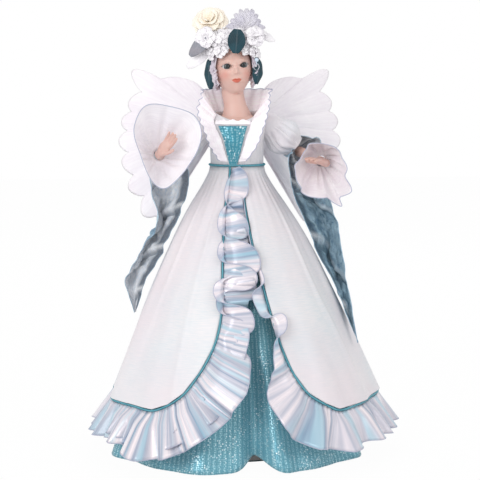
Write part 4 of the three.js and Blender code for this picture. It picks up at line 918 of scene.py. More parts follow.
def front_seam(side):
    """Angle and height along a front edge and on along the hem, for t from 0 to 1."""
    hem = OVERSKIRT["hem"]
    points = []
    for row in range(OVERSKIRT_ROWS + 1):
        z = overskirt_height(row / OVERSKIRT_ROWS)
        points.append(Vector((side * opening_angle(side, z) * hem, z, 0)))
    last = abs(points[-1].x)
    points.append(Vector((side * lerp(last, RUFFLE_SPLIT * hem, 0.5), OVERSKIRT["hem_z"], 0)))
    points.append(Vector((side * RUFFLE_SPLIT * hem, OVERSKIRT["hem_z"], 0)))

    def seam(t):
        place = catmull(points, t)
        return place.x / hem, place.y

    return seam


def hem_seam(t):
    """Angle and height along the hem, from the end of one front ruffle round the back to the other."""
    return lerp(HEM_SPLIT, 2 * math.pi - HEM_SPLIT, t), OVERSKIRT["hem_z"]


def seam_frame(seam, t, side):
    """Place on the skirt, direction along the seam, out from the skirt and away from the cloth."""
    step = 2e-3
    angle, z = seam(t)
    here = overskirt_point(angle, z)
    ahead = overskirt_point(*seam(min(t + step, 1))) - overskirt_point(*seam(max(t - step, 0)))
    ahead.normalize()
    out = polar(1, angle, 0)
    away = (ahead.cross(out) * side).normalized()
    return here, ahead, out, away


def ruffle_surface(seam, width_at, side, waves, phase, cascade=0.0, turned_back=0.0, lift=0.0):
    """A ruffle gathered on to a seam.

    A cascade folds to and fro where it hangs beside its seam. A ruffle that is turned back lies out over the
    skirt half way down. Lift holds it off the cloth under it.
    """
    gap = 2 * (sizes().piping / MM + FIT)
    full = sizes().ruffle_width / MM
    depth = sizes().ruffle_wave / MM

    def at(u, v):
        here, ahead, out, away = seam_frame(seam, u, side)
        width = width_at(u)
        hang = clamp(-away.z)
        beside = 1 - smooth((hang - 0.35) / 0.4)
        fold = cascade * beside * smooth((here.z - CASCADE["low"]) / CASCADE["fade"])
        loose = min(1.0, width / CASCADE["loose_from"])
        back = turned_back * smooth((TURNED_BACK["top"] - here.z) / TURNED_BACK["top_fade"])
        back *= smooth((here.z - TURNED_BACK["low"]) / TURNED_BACK["low_fade"])
        wander = 0.9 * math.sin(5.3 * u * math.pi + phase) + 0.6 * math.sin(12.7 * u * math.pi + 2 * phase)
        crowding = 8 * cascade * max(0.0, u - 0.5) ** 2
        turn = 2 * math.pi * (waves * u + crowding) + phase + wander * (1 - 0.7 * fold)
        turn -= 0.3 * fold * math.sin(turn)
        swing = math.sin(turn)
        flute = 1.16 * swing / math.sqrt(0.35 + swing * swing)
        wave = v ** 0.9 * lerp(depth * (0.35 + 0.65 * width / full) * flute, 5 * loose * math.cos(turn), fold)
        frill = fold * loose * v * v * math.sin(5 * turn)
        gathers = 0.5 * math.exp(-5 * v) * math.sin(5 * turn)
        flare = math.sin(FLARE) * width * v * max(hang, 0.12) + (lift + 3 * back) * smooth(3 * v)
        reach = width * v * math.cos(FLARE * hang) * (lerp(1, 0.38 + 0.62 * swing, fold) - 0.5 * back)
        lean = v * lerp(0.25 * depth * v * math.sin(2 * turn + 0.4), -4.5 * loose * math.sin(2 * turn), fold)
        round_skirt = (1 - hang) * reach * reach / (2 * skirt_radius(OVERSKIRT, here.z))
        stand = flare + wave + frill + gathers - round_skirt
        return here + away * (gap + reach) + out * stand + ahead * lean

    return at


# Operators, one for each group of like pieces

class AngelOperator:
    """Shared settings of the operators that make the pieces."""
    bl_options = {"REGISTER", "UNDO"}


class ANGEL_OT_stage(AngelOperator, bpy.types.Operator):
    """Floor, soft lights, white surroundings and the camera at the photograph's angle"""
    bl_idname = "angel.stage"
    bl_label = "Studio"

    def execute(self, context):
        scene = context.scene
        scene.view_settings.view_transform = "Standard"
        self.floor()
        self.world(scene)
        self.lamp("Key", (-1.4, -1.8, 1.1), 1.3, 21.5)
        self.lamp("Fill", (1.5, -1.4, 0.9), 1.2, 6.0)
        self.lamp("Back", (0.4, 1.6, 1.5), 1.0, 8.0)
        self.camera(scene)
        return {"FINISHED"}

    def floor(self):
        tree, shader = blank("floor", {"Base Color": (0.9, 0.9, 0.9, 1), "Roughness": 0.9})
        white = put(tree, "ShaderNodeEmission", {"Color": (1, 1, 1, 1), "Strength": 1.0})
        share = times(tree, self.seen(tree), 0.97)
        mixed = put(tree, "ShaderNodeMixShader", {0: share, 1: shader.outputs[0], 2: white.outputs[0]})
        feed(tree, tree.nodes["Material Output"], Surface=mixed.outputs[0])
        bm = bmesh.new()
        bmesh.ops.create_grid(bm, x_segments=1, y_segments=1, size=4000)
        make_object("studio_floor", bm, "floor")

    def seen(self, tree):
        """1 for rays that show the surroundings to the camera, straight, mirrored or through glass."""
        path = put(tree, "ShaderNodeLightPath")
        either = maths(tree, "MAXIMUM", path.outputs["Is Camera Ray"], path.outputs["Is Glossy Ray"])
        return maths(tree, "MAXIMUM", either, path.outputs["Is Transmission Ray"])

    def world(self, scene):
        world = bpy.data.worlds.new("studio")
        world.use_nodes = True
        tree = world.node_tree
        background = tree.nodes["Background"]
        background.inputs["Color"].default_value = (1, 1, 1, 1)
        strength = put(tree, "ShaderNodeMapRange", {"Value": self.seen(tree), "To Min": 0.75, "To Max": 1.0})
        feed(tree, background, Strength=strength.outputs["Result"])
        scene.world = world

    def lamp(self, name, place, size, power):
        data = bpy.data.lights.new(name, "AREA")
        data.size = size
        data.energy = power
        lamp = bpy.data.objects.new(name, data)
        lamp.location = place
        lamp.rotation_euler = (LAMP_AIM - Vector(place)).to_track_quat("-Z", "Y").to_euler()
        bpy.context.scene.collection.objects.link(lamp)

    def camera(self, scene):
        azimuth = CAMERA["azimuth"]
        toward = Vector((math.sin(azimuth), -math.cos(azimuth), 0))
        right = Vector((math.cos(azimuth), math.sin(azimuth), 0))
        data = bpy.data.cameras.new("photograph")
        data.lens = LENS
        data.sensor_width = SENSOR
        data.sensor_fit = "HORIZONTAL"
        camera = bpy.data.objects.new("photograph", data)
        camera.location = toward * CAMERA["distance"] + Vector((0, 0, CAMERA["height"]))
        aim = right * CAMERA["aim_right"] + Vector((0, 0, CAMERA["aim_z"]))
        camera.rotation_euler = (aim - camera.location).to_track_quat("-Z", "Y").to_euler()
        scene.collection.objects.link(camera)
        scene.camera = camera


class ANGEL_OT_stand(AngelOperator, bpy.types.Operator):
    """Finishes of the hidden stand, body and wires, and the felt under the base"""
    bl_idname = "angel.stand"
    bl_label = "Stand and body"

    def execute(self, context):
        finishes = {
            "wood": ("stand_base",),
            "silver": ("base_screw", "stand_post", "wing_bracket", "right_arm_wire", "left_arm_wire",
                       "right_wing_wire", "left_wing_wire"),
            "calico": ("torso", "skirt_cone", "head_pate", "right_upper_arm", "left_upper_arm"),
        }
        for finish, names in finishes.items():
            for name in names:
                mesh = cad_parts[name].data
                mesh.materials.clear()
                mesh.materials.append(FINISHES[finish])
        low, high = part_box("base_felt")
        radius = (high.x - low.x) / 2 / MM
        bm = bmesh.new()
        bmesh.ops.create_circle(bm, cap_ends=True, segments=64, radius=radius)
        bmesh.ops.translate(bm, verts=bm.verts, vec=(0, 0, (low.z + high.z) / 2 / MM))
        thickness = high.z - low.z - 2 * FIT * MM
        felt = cloth_piece("felt_pad", bm, ["felt"], thickness, "felt", "base_felt")
        return {"FINISHED"}


class ANGEL_OT_underskirt(AngelOperator, bpy.types.Operator):
    """The sequinned skirt with its hanging folds and the deep fold at the front"""
    bl_idname = "angel.underskirt"
    bl_label = "Sequinned skirt"

    def execute(self, context):
        bm = bent_grid(underskirt_point, 260, 64, cut=(0.86, 0.32))
        point_out(bm, SKIRT_MIDDLE)
        skirt = cloth_piece("sequin_skirt", bm, ["sequin", "calico"], sizes().cloth, "sequin", "underskirt")
        return {"FINISHED"}


class ANGEL_OT_overskirt(AngelOperator, bpy.types.Operator):
    """The open satin skirt with the twisted cords at its waist and along its edges"""
    bl_idname = "angel.overskirt"
    bl_label = "Satin skirt"

    def execute(self, context):
        def at(u, v):
            z = overskirt_height(v)
            left_edge = opening_angle(1, z)
            right_edge = 2 * math.pi - opening_angle(-1, z)
            return gathered_overskirt_point(lerp(left_edge, right_edge, u), z)

        bm = bent_grid(at, 300, 72, cut=(0.8, 0.26))
        point_out(bm, SKIRT_MIDDLE)
        skirt = cloth_piece("satin_skirt", bm, ["satin", "calico"], sizes().cloth, "satin", "overskirt")
        cords = [self.front_cord(-1), self.front_cord(1), self.hem_cord()]
        self.waist()
        return {"FINISHED"}

    def cord(self, name, path, radius, span, node, closed=False):
        """A cord of three plies; span is near its length, and sets how many turns they make."""
        lay = 6 * radius
        steps = int(span / lay * 12)
        bm = bmesh.new()
        add_tube(bm, path, radius, steps, 10, closed, twist=2 * math.pi * round(span / lay), plies=3)
        return set_piece(make_object(name, bm, "cord"), "figure", "cord", node)

    def front_cord(self, side):
        seam = front_seam(side)
        radius = sizes().piping / MM

        def path(t):
            here, _, _, away = seam_frame(seam, t, side)
            return here + away * (radius + FIT)

        word = "right" if side < 0 else "left"
        return self.cord(f"skirt_cord_{word}", path, radius, 330, f"front_piping_{word}")

    def hem_cord(self):
        radius = sizes().piping / MM

        def path(t):
            return overskirt_point(*hem_seam(t)) - Vector((0, 0, radius + FIT))

        return self.cord("skirt_cord_hem", path, radius, 520, "hem_piping")

    def waist(self):
        radius = sizes().waist_cord / MM
        z = OVERSKIRT["top_z"] + WAIST_RISE + radius + FIT
        self.cord("waist_twist", lambda t: on_body(2 * math.pi * t, z, OVERSKIRT_EASE + FIT), radius, 150,
                  "waist_cord", closed=True)


class ANGEL_OT_ruffles(AngelOperator, bpy.types.Operator):
    """The iridescent ruffles down the front edges and round the hem, with their rolled edges"""
    bl_idname = "angel.ruffles"
    bl_label = "Ruffles"

    def execute(self, context):
        widest = sizes().ruffle_width / MM
        right, left = self.upper_seam(-1), self.upper_seam(1)

        def opening(z):
            return (opening_angle(-1, z) + opening_angle(1, z)) * skirt_radius(OVERSKIRT, z)

        def narrowed(angle):
            """The ruffle's width at an angle round the hem: it is narrower at the sides."""
            turn = turn_from(angle, 0)
            around = abs(turn)
            start = math.radians(NARROW["start"][-1 if turn < 0 else 1])
            starting = smooth((around - start) / math.radians(NARROW["fade"]))
            stopping = smooth((math.radians(NARROW["stop"]) - around) / math.radians(NARROW["stop_fade"]))
            return widest * lerp(1, NARROW["share"], starting * stopping)

        def right_width(u):
            angle, z = right(u)
            return min(narrowed(angle), opening(z) * lerp(0.62, 1.0, smooth((z - 150) / 40)) + 1)

        def backing_width(u):
            z = right(u)[1]
            return opening(z) * lerp(0.2, 0.8, smooth((z - 140) / 40)) - 2

        def left_width(u):
            angle, z = left(u)
            return lerp(lerp(1, 24, smooth((208 - z) / 26)), narrowed(angle), smooth((112 - z) / 40))

        folds = ruffle_surface(right, right_width, -1, 6, 0.4, cascade=1.0, lift=5)
        under = ruffle_surface(right, lambda u: 0.82 * right_width(u), -1, 7, 2.9, cascade=1.0, lift=1.5)
        backing = ruffle_surface(right, backing_width, -1, 17, 0.0, lift=-1.5)
        layers = (folds, under, backing)
        self.ruffle("cascade_ruffle_right", layers, 520, (1.1, 0.052), 0.036, "front_ruffle_right")
        folds = ruffle_surface(left, left_width, 1, 6, 2.0, cascade=1.0, turned_back=1.0, lift=3)
        self.ruffle("cascade_ruffle_left", (folds,), 520, (0.5, 0.052), 0.0098, "front_ruffle_left")

        around = 2 * (math.pi - HEM_SPLIT) * OVERSKIRT["hem"]
        waves = round(around / (sizes().ruffle_pitch / MM))
        at = ruffle_surface(hem_seam, lambda u: narrowed(hem_seam(u)[0]), 1, waves, math.pi)
        self.ruffle("skirt_ruffle_hem", (at,), 640, (0.72, 0.052), 0.0305, "hem_ruffle")
        return {"FINISHED"}

    def upper_seam(self, side):
        """A front edge from just under the waist cord."""
        edge = front_seam(side)
        return lambda u: edge(lerp(0.005, 1, u))

    def ruffle(self, name, layers, across, flat, area, node):
        bm = bmesh.new()
        for at in layers:
            add_grid(bm, at, across, 12, cut=flat)
        point_out(bm, RUFFLE_MIDDLE)
        # The inner side of each ruffle takes the shaded copy of the ruffle finish: painted shade
        piece = cloth_piece(name, bm, ["organza", "organza_shaded"], sizes().sheer, "organza", node)
        edges = [edge_thread(f"{name}_edge_{i}", lambda t: layer(t, 1), across, "figure")
                 for i, layer in enumerate(layers[:2])]


def edge_thread(name, path, steps, body, closed=False):
    """The rolled thread along a sheer edge."""
    bm = bmesh.new()
    add_tube(bm, path, sizes().thread / MM, steps, 6, closed)
    return set_piece(make_object(name, bm, "thread"), body, "cord")


def clear_of_sleeves(point):
    """A point of the bodice pushed off the padded sleeve heads."""
    room = BALL_RADIUS + 2 * FIT
    for arm in ARMS.values():
        away = point - Vector(arm["shoulder"])
        if away.length < room:
            point = Vector(arm["shoulder"]) + away.normalized() * room
    return point


class ANGEL_OT_bodice(AngelOperator, bpy.types.Operator):
    """Satin bodice, sequinned front panel, lace at the neck and the pleated collar"""
    bl_idname = "angel.bodice"
    bl_label = "Bodice"

    def execute(self, context):
        self.bodice()
        self.panel()
        self.lace()
        self.collar()
        return {"FINISHED"}

    def bodice(self):
        low = WAIST_Z - 1

        def at(u, v):
            angle = 2 * math.pi * u
            behind = smooth((1 - math.cos(angle)) / 1.4)
            dip = bump(math.sin(angle / 2), 0.3)
            top = NECKLINE_Z + BODICE_EDGE["rise"] + BODICE_EDGE["back"] * behind - BODICE_EDGE["front"] * dip
            z = lerp(low, top, v)
            pull = 0.35 * math.sin(30 * angle + 3 * noise.noise(Vector((4 * u, 3 * v, 1)))) * (1 - v)
            return clear_of_sleeves(on_body(angle, z, BODICE_GROW + pull))

        bm = bent_grid(at, 160, 44, cut=(0.17, 0.055))
        point_out(bm, BODICE_MIDDLE)
        piece = cloth_piece("satin_bodice", bm, ["satin"], sizes().cloth, "satin", "bodice")

    def panel(self):
        def at(u, v):
            half = math.radians(lerp(7, 27, v))
            return on_body(TRIM_TURN + lerp(-half, half, u), lerp(WAIST_Z + 2, NECKLINE_Z - 7, v), TRIM_GROW)

        bm = bent_grid(at, 40, 40, cut=(0.026, 0.038))
        point_out(bm, BODICE_MIDDLE)
        piece = cloth_piece("sequin_panel", bm, ["sequin_panel"], sizes().cloth, "sequin", "stomacher")

    def lace(self):
        def at(u, v):
            angle = lerp(math.radians(-34), math.radians(34), u)
            scallop = 0.8 * math.cos(18 * angle)
            gather = 0.35 * math.sin(70 * angle) * v
            return on_body(TRIM_TURN + angle, NECKLINE_Z - 5.5 + (4.5 + scallop) * v, TRIM_GROW + gather)

        bm = bent_grid(at, 160, 8, cut=(0.036, 0.006))
        point_out(bm, LACE_MIDDLE)
        piece = cloth_piece("neck_lace", bm, ["lace"], sizes().sheer, "lace", "lace_edging")

    def collar(self):
        # Degrees from the front, height, distance off the body, width and how far the collar spreads aside
        stations = [(9, WAIST_Z + 7, 4, 9, 0.9), (19, 314, 4, 15, 1.0), (28, 330, 5.2, 18, 1.0),
                    (40, NECKLINE_Z, 5.2, 22, 0.8), (72, NECKLINE_Z + 5, 4, 26, 0.3),
                    (120, NECKLINE_Z + 6, 4, 25, 0.1), (180, NECKLINE_Z + 6.5, 4, 24, 0.0)]
        line = [Vector((math.radians(station[0]), *station[1:3])) for station in stations]
        form = [Vector((*station[3:], 0)) for station in stations]

        def at(u, v):
            side = -1 if u < 0.5 else 1
            t = 1 - abs(2 * u - 1)
            angle, z, lift = catmull(line, t)
            width, spread = catmull(form, t).xy
            angle = side * angle + TRIM_TURN * (1 - smooth(2 * t - 1))
            out = polar(1, angle, 0)
            rising = smooth(t * 1.4)
            aside = Vector((math.cos(angle), math.sin(angle), 0)) * spread * side
            away = aside + out * lerp(0.6, 0.45, rising)
            away.z = lerp(0.1, 1, rising)
            away.normalize()
            turn = 2 * math.pi * 30 * u + 2.0 * noise.noise(Vector((7 * u, 0.6 * v, 2)))
            pleat = sizes().collar_pleats / MM * math.sin(turn) * (0.3 + 0.7 * v)
            edge = 0.4 * v ** 3 * math.sin(turn + 1)
            return on_body(angle, z, lift) + away * (1 + (width + edge) * v) + out * pleat

        bm = bent_grid(at, 560, 12, cut=(0.3, 0.02))
        point_out(bm, COLLAR_MIDDLE)
        piece = cloth_piece("pleated_collar", bm, ["lace"], sizes().sheer, "lace", "collar_ruffle")
        edge = edge_thread("pleated_collar_edge", lambda t: at(t, 1), 560, "figure")


# Arms

def upper_arm(arm):
    """Shoulder of an arm, how far the elbow is, and the directions along, up from and behind it."""
    shoulder = Vector(arm["shoulder"])
    reach = Vector(arm["elbow"]) - shoulder
    along = reach.normalized()
    up = (Vector((0, 0, 1)) - along * along.z).normalized()
    return shoulder, reach.length, along, up, along.cross(up) * -arm["side"]


def forearm(arm):
    """Elbow and wrist of an arm, and the direction from one to the other."""
    elbow, wrist = Vector(arm["elbow"]), Vector(arm["wrist"])
    return elbow, wrist, (wrist - elbow).normalized()


class ANGEL_OT_sleeves(AngelOperator, bpy.types.Operator):
    """Puffed satin sleeves and the long hanging sleeves of metallic cloth with silver linings"""
    bl_idname = "angel.sleeves"
    bl_label = "Sleeves"

    def execute(self, context):
        for word, arm in ARMS.items():
            self.puff(word, arm)
            self.hanging(word, arm)
        return {"FINISHED"}

    def puff(self, word, arm):
        shoulder, reach, along, up, back = upper_arm(arm)
        end = reach - PUFF["short"]

        def profile(v):
            head = 0.22
            if v < head:
                angle = lerp(math.radians(56), 0, v / head)
                return BALL_RADIUS * math.cos(angle), -BALL_RADIUS * math.sin(angle)
            t = (v - head) / (1 - head)
            swell = math.sin(math.pi * t ** 1.2) ** 1.6
            return lerp(BALL_RADIUS, PUFF["elbow"], t) + (PUFF["radius"] - BALL_RADIUS) * swell, end * t

        def at(u, v):
            radius, out = profile(v)
            angle = 2 * math.pi * u
            place = Vector((2 * math.cos(angle), 2 * math.sin(angle), 2.4 * v + arm["side"]))
            loose = smooth((v - 0.2) * 4) * smooth((1 - v) * 5)
            folds = sizes().puff_folds / MM * loose * math.sin(15 * angle + 2.6 * noise.noise(place))
            dents = 1.5 * loose * noise.noise(place * 1.7)
            radius += folds + dents
            return shoulder + along * out + (up * math.cos(angle) + back * math.sin(angle)) * radius

        bm = bent_grid(at, 150, 44, cut=(0.12, 0.06))
        point_out(bm, shoulder + along * end / 2)
        piece = cloth_piece(f"{word}_puff", bm, ["satin"], sizes().cloth, "satin",
                            f"{word}_puff_sleeve", f"{word}_arm")

    def hanging(self, word, arm):
        shoulder, reach, along, up, back = upper_arm(arm)
        hug = PUFF["elbow"] + 2 * FIT + CLOTH / 2
        start = shoulder + along * (reach - SLEEVE_START)
        side = arm["side"]

        def seam(u):
            angle = lerp(math.radians(-105), math.radians(-350), u)
            return start + (up * math.cos(angle) + back * math.sin(angle)) * hug

        def point(spread):
            radius = overskirt_radius(side * math.radians(arm["tip_angle"]), arm["tip_z"]) + arm["tip_gap"]
            return polar(radius, side * math.radians(arm["tip_angle"] + spread), arm["tip_z"])

        lines = []
        for i, key in enumerate(("inner", "back", "outer")):
            lines.append([seam(i / 2), *(Vector(p) for p in arm[key]), point(1.5 * (1 - i))])

        def across(a, b, c, u):
            return a * (2 * (u - 0.5) * (u - 1)) + b * (4 * u * (1 - u)) + c * (2 * u * (u - 0.5))

        def plain(u, v):
            roundness = (seam(u) - across(seam(0), seam(0.5), seam(1), u)) * (1 - smooth(v / 0.4))
            return across(*(catmull(line, v) for line in lines), u) + roundness

        def at(u, v):
            here = plain(u, v)
            step = 0.01
            du = plain(min(u + step, 1), v) - plain(max(u - step, 0), v)
            dv = plain(u, min(v + step, 1)) - plain(u, max(v - step, 0))
            outward = du.cross(dv)
            if outward.length < 1e-9:
                return here
            outward.normalize()
            outward *= side
            inside = smooth(5 * u) * smooth(5 * (1 - u))
            depth = sizes().crumple / MM * smooth(v * 5) * smooth((1 - v) * 6) * lerp(0.5, 1, inside)
            tier = (SLEEVE_TIERS * (v - SLEEVE_SLANT * u)) % 1
            lip = min(tier / SLEEVE_LIP, (1 - tier) / (1 - SLEEVE_LIP))
            crumple = 1.6 * noise.noise(here / 11) + 0.7 * inside * noise.noise(here / 5) - 2.4 * lip
            return here + outward * depth * crumple

        bm = bent_grid(at, 60, 160, cut=SLEEVE_CUT, flip=side < 0)
        piece = cloth_piece(f"{word}_sleeve_fall", bm, ["lame", f"{word}_lining"], sizes().cloth, "lame",
                            f"{word}_hanging_sleeve", f"{word}_arm")
        width, drop, area = arm["fall"]


class ANGEL_OT_hands(AngelOperator, bpy.types.Operator):
    """Bisque forearms with hands, and the wide sheer cuffs with their thread edges"""
    bl_idname = "angel.hands"
    bl_label = "Hands and cuffs"

    def execute(self, context):
        for word, arm in ARMS.items():
            self.hand(word, arm)
            self.cuff(word, arm)
        return {"FINISHED"}

    def hand(self, word, arm):
        elbow, wrist, fore = forearm(arm)
        ahead = Vector(arm["fingers"]).normalized()
        knuckle = Vector(arm["palm"])
        knuckle = (knuckle - ahead * knuckle.dot(ahead)).normalized()
        thumbward = ahead.cross(knuckle) * arm["side"]

        def place(x, y, z):
            return wrist + ahead * x + thumbward * y + knuckle * z

        bm = bmesh.new()
        lower_arm = [(elbow - fore * 4, 3.4), (elbow, 5.4), (elbow.lerp(wrist, 0.35), 5.3),
                     (elbow.lerp(wrist, CUFF_START), 4.5), (wrist, 4.2), (place(5, 0, 0), 4.0)]
        self.limb(bm, lower_arm, 20)
        turn = Matrix((ahead, thumbward, knuckle)).transposed().to_4x4()
        palm = Matrix.Translation(place(10, 0.4, 0)) @ turn @ Matrix.Diagonal((10.5, 6.3, 3.3, 1))
        bmesh.ops.create_uvsphere(bm, u_segments=28, v_segments=18, radius=1, matrix=palm)
        for i, reach in enumerate((15, 17, 15.5, 12)):
            y = 4.4 - 2.9 * i
            joints = [(13, 0.8, 0.2), (18, 1.0, 0.4), (18 + 0.45 * reach, 1.12, -0.4),
                      (18 + 0.85 * reach, 1.2, -2.4)]
            self.limb(bm, [(place(x, y * spread, z), 1.95 - 0.2 * k)
                           for k, (x, spread, z) in enumerate(joints)], 10)
        thumb = [(5, 3.5, -0.8, 2.5), (11, 6.8, -2, 2.2), (15.5, 9.2, -2.8, 1.9), (19.5, 10.4, -3.2, 1.6)]
        self.limb(bm, [(place(x, y, z), r) for x, y, z, r in thumb], 10)
        piece = fused(f"{word}_bisque_hand", bm, 0.0005, "bisque")
        set_piece(piece, f"{word}_forearm", "bisque", f"{word}_hand")

    def limb(self, bm, joints, sides):
        """A rounded limb through places with radii."""
        for (a, ra), (b, rb) in zip(joints, joints[1:]):
            turn = (b - a).to_track_quat("Z", "Y").to_matrix().to_4x4()
            matrix = Matrix.Translation((a + b) / 2) @ turn
            bmesh.ops.create_cone(bm, cap_ends=True, segments=sides, radius1=ra, radius2=rb,
                                  depth=(b - a).length, matrix=matrix)
        for spot, radius in joints:
            bmesh.ops.create_uvsphere(bm, u_segments=sides, v_segments=sides // 2, radius=radius,
                                      matrix=Matrix.Translation(spot))

    def cuff(self, word, arm):
        elbow, wrist, fore = forearm(arm)
        start = elbow.lerp(wrist, CUFF_START)
        side = Vector((0, 0, 1)).cross(fore).normalized()
        top = fore.cross(side)
        rim = Vector(arm["rim"])
        outline = [Vector((x, z, 0)) for x, z in arm["outline"]]

        def at(u, v):
            edge = catmull(outline, u, closed=True)
            angle = math.atan2(edge.y, edge.x)
            end = Vector(arm["across"]) * edge.x + Vector(arm["up"]) * edge.y
            ring = (side * math.cos(angle) + top * math.sin(angle)) * CUFF_RING
            wander = 1.6 * noise.noise(Vector((2 * math.cos(angle), 2 * math.sin(angle), arm["side"])))
            folds = sizes().cuff_folds / MM * math.sin(13 * angle + wander) * math.sin(math.pi * v ** 0.8)
            flute = arm["flute_depth"] * v * v * math.sin(arm["flutes"] * angle + wander)
            spread = ring.lerp(end, v ** 0.8)
            middle = start.lerp(rim, v ** 1.4)
            return middle + spread * (1 + folds / max(spread.length, 6)) + fore * flute

        bm = bent_grid(at, 220, 26, cut=(0.2, 0.045))
        point_out(bm, start.lerp(rim, 0.6))
        piece = cloth_piece(f"{word}_sheer_cuff", bm, [arm["cuff_finish"]], sizes().sheer, "organza",
                            f"{word}_cuff", f"{word}_forearm")
        edge = edge_thread(f"{word}_sheer_cuff_edge", lambda t: at(t, 1), 220, f"{word}_forearm", closed=True)


def fused(name, bm, voxel, finish):
    """One smooth skin round overlapping closed shapes."""
    rough = make_object(f"{name}_parts", bm)
    modifier = rough.modifiers.new("Fuse", "REMESH")
    modifier.mode = "VOXEL"
    modifier.voxel_size = voxel
    graph = bpy.context.evaluated_depsgraph_get()
    mesh = bpy.data.meshes.new_from_object(rough.evaluated_get(graph))
    bpy.data.objects.remove(rough)
    skin = bmesh.new()
    skin.from_mesh(mesh)
    bpy.data.meshes.remove(mesh)
    for step in range(3):
        bmesh.ops.smooth_vert(skin, verts=skin.verts, factor=0.5,
                              use_axis_x=True, use_axis_y=True, use_axis_z=True)
    bmesh.ops.scale(skin, vec=(1 / MM, 1 / MM, 1 / MM), verts=skin.verts)
    return make_object(name, skin, finish)


# Head

def eye_opening(x, z):
    """Distance from the middle of the nearer eye, 1 at the edge of the lids, and height over the middle."""
    ex = abs(x) - EYE["spacing"] / 2
    ez = z - EYE["height"]
    across = ex / LIDS["half_width"]
    lid = LIDS["half_height"] * (1 - 0.3 * across ** 2)
    return math.hypot(across, ez / max(lid, 0.7)), ez


def face_point(d):
    """The head's surface in its own frame, for a direction from its middle."""
    low = smooth(-d.z)
    front = clamp(-d.y)
    slim = 1 - 0.18 * low - 0.04 * front
    shallow = 1 - 0.22 * low * (1 - front)
    p = Vector((d.x * SKULL.x * slim, d.y * SKULL.y * shallow, d.z * SKULL.z))
    if d.y >= 0:
        return p
    x, z = p.x, p.z
    reach = abs(x)
    nose = 3.7 * bump(x, 2.1) * clamp((6 - z) / 10) * clamp((z + 6.4) / 2.2)
    nostrils = 0.8 * bump(reach - 2.1, 1.1) * bump(z + 4.5, 1.4)
    lips = 1.5 * bump(x, 4.4) * bump(z + 10.3, 1.1) + 1.7 * bump(x, 3.8) * bump(z + 13.2, 1.3)
    mouth = 0.9 * bump(x, 4.6) * bump(z + 11.7, 0.55)
    chin = 2.2 * bump(x, 6) * bump(z + 23.5, 4)
    cheeks = 0.9 * bump(reach - 10, 5) * bump(z + 7, 6)
    brow = 0.7 * bump(reach - 8, 5) * bump(z - 8, 3)
    gap, height = eye_opening(x, z)
    sockets = 1.2 * bump(reach - EYE["spacing"] / 2, 5) * bump(height, 4)
    inside = smooth((1.1 - gap) / 0.2)
    lids = 1.3 * bump(gap - 1.25, 0.28) * (1 - inside)
    holes = 3.4 * inside
    p.y -= nose + nostrils + lips - mouth + chin + cheeks + brow - sockets + lids - holes
    return p


def face_paint(p):
    """Masks of the painted blush, lips, and brows with lash lines at a point in the head's frame."""
    if p.y > -4:
        return 0.0, 0.0, 0.0
    x, z = p.x, p.z
    reach = abs(x)
    blush = 0.55 * bump(reach - 11.5, 4.5) * bump(z + 6, 5)
    bow = -9.2 - 0.07 * x * x - 0.7 * bump(x, 1.1)
    lower = -14.9 + 0.12 * x * x
    lips = smooth((bow - z) / 0.9) * smooth((z - lower) / 0.9) * smooth((5.6 - reach) / 0.8)
    arch = 9.9 - 0.03 * (reach - 8.2) ** 2
    brow = 0.14 * bump(z - arch, 0.5) * smooth((reach - 3.8) / 1.6) * smooth((13.4 - reach) / 3)
    gap, height = eye_opening(x, z)
    line = bump(gap - 1.16, 0.26) * smooth((height + 0.3) / 0.8) * lerp(0.5, 1, smooth((reach - 4.5) / 3.5))
    under = 0.35 * bump(gap - 1.12, 0.1)
    return blush, lips, clamp(max(brow, line, under))


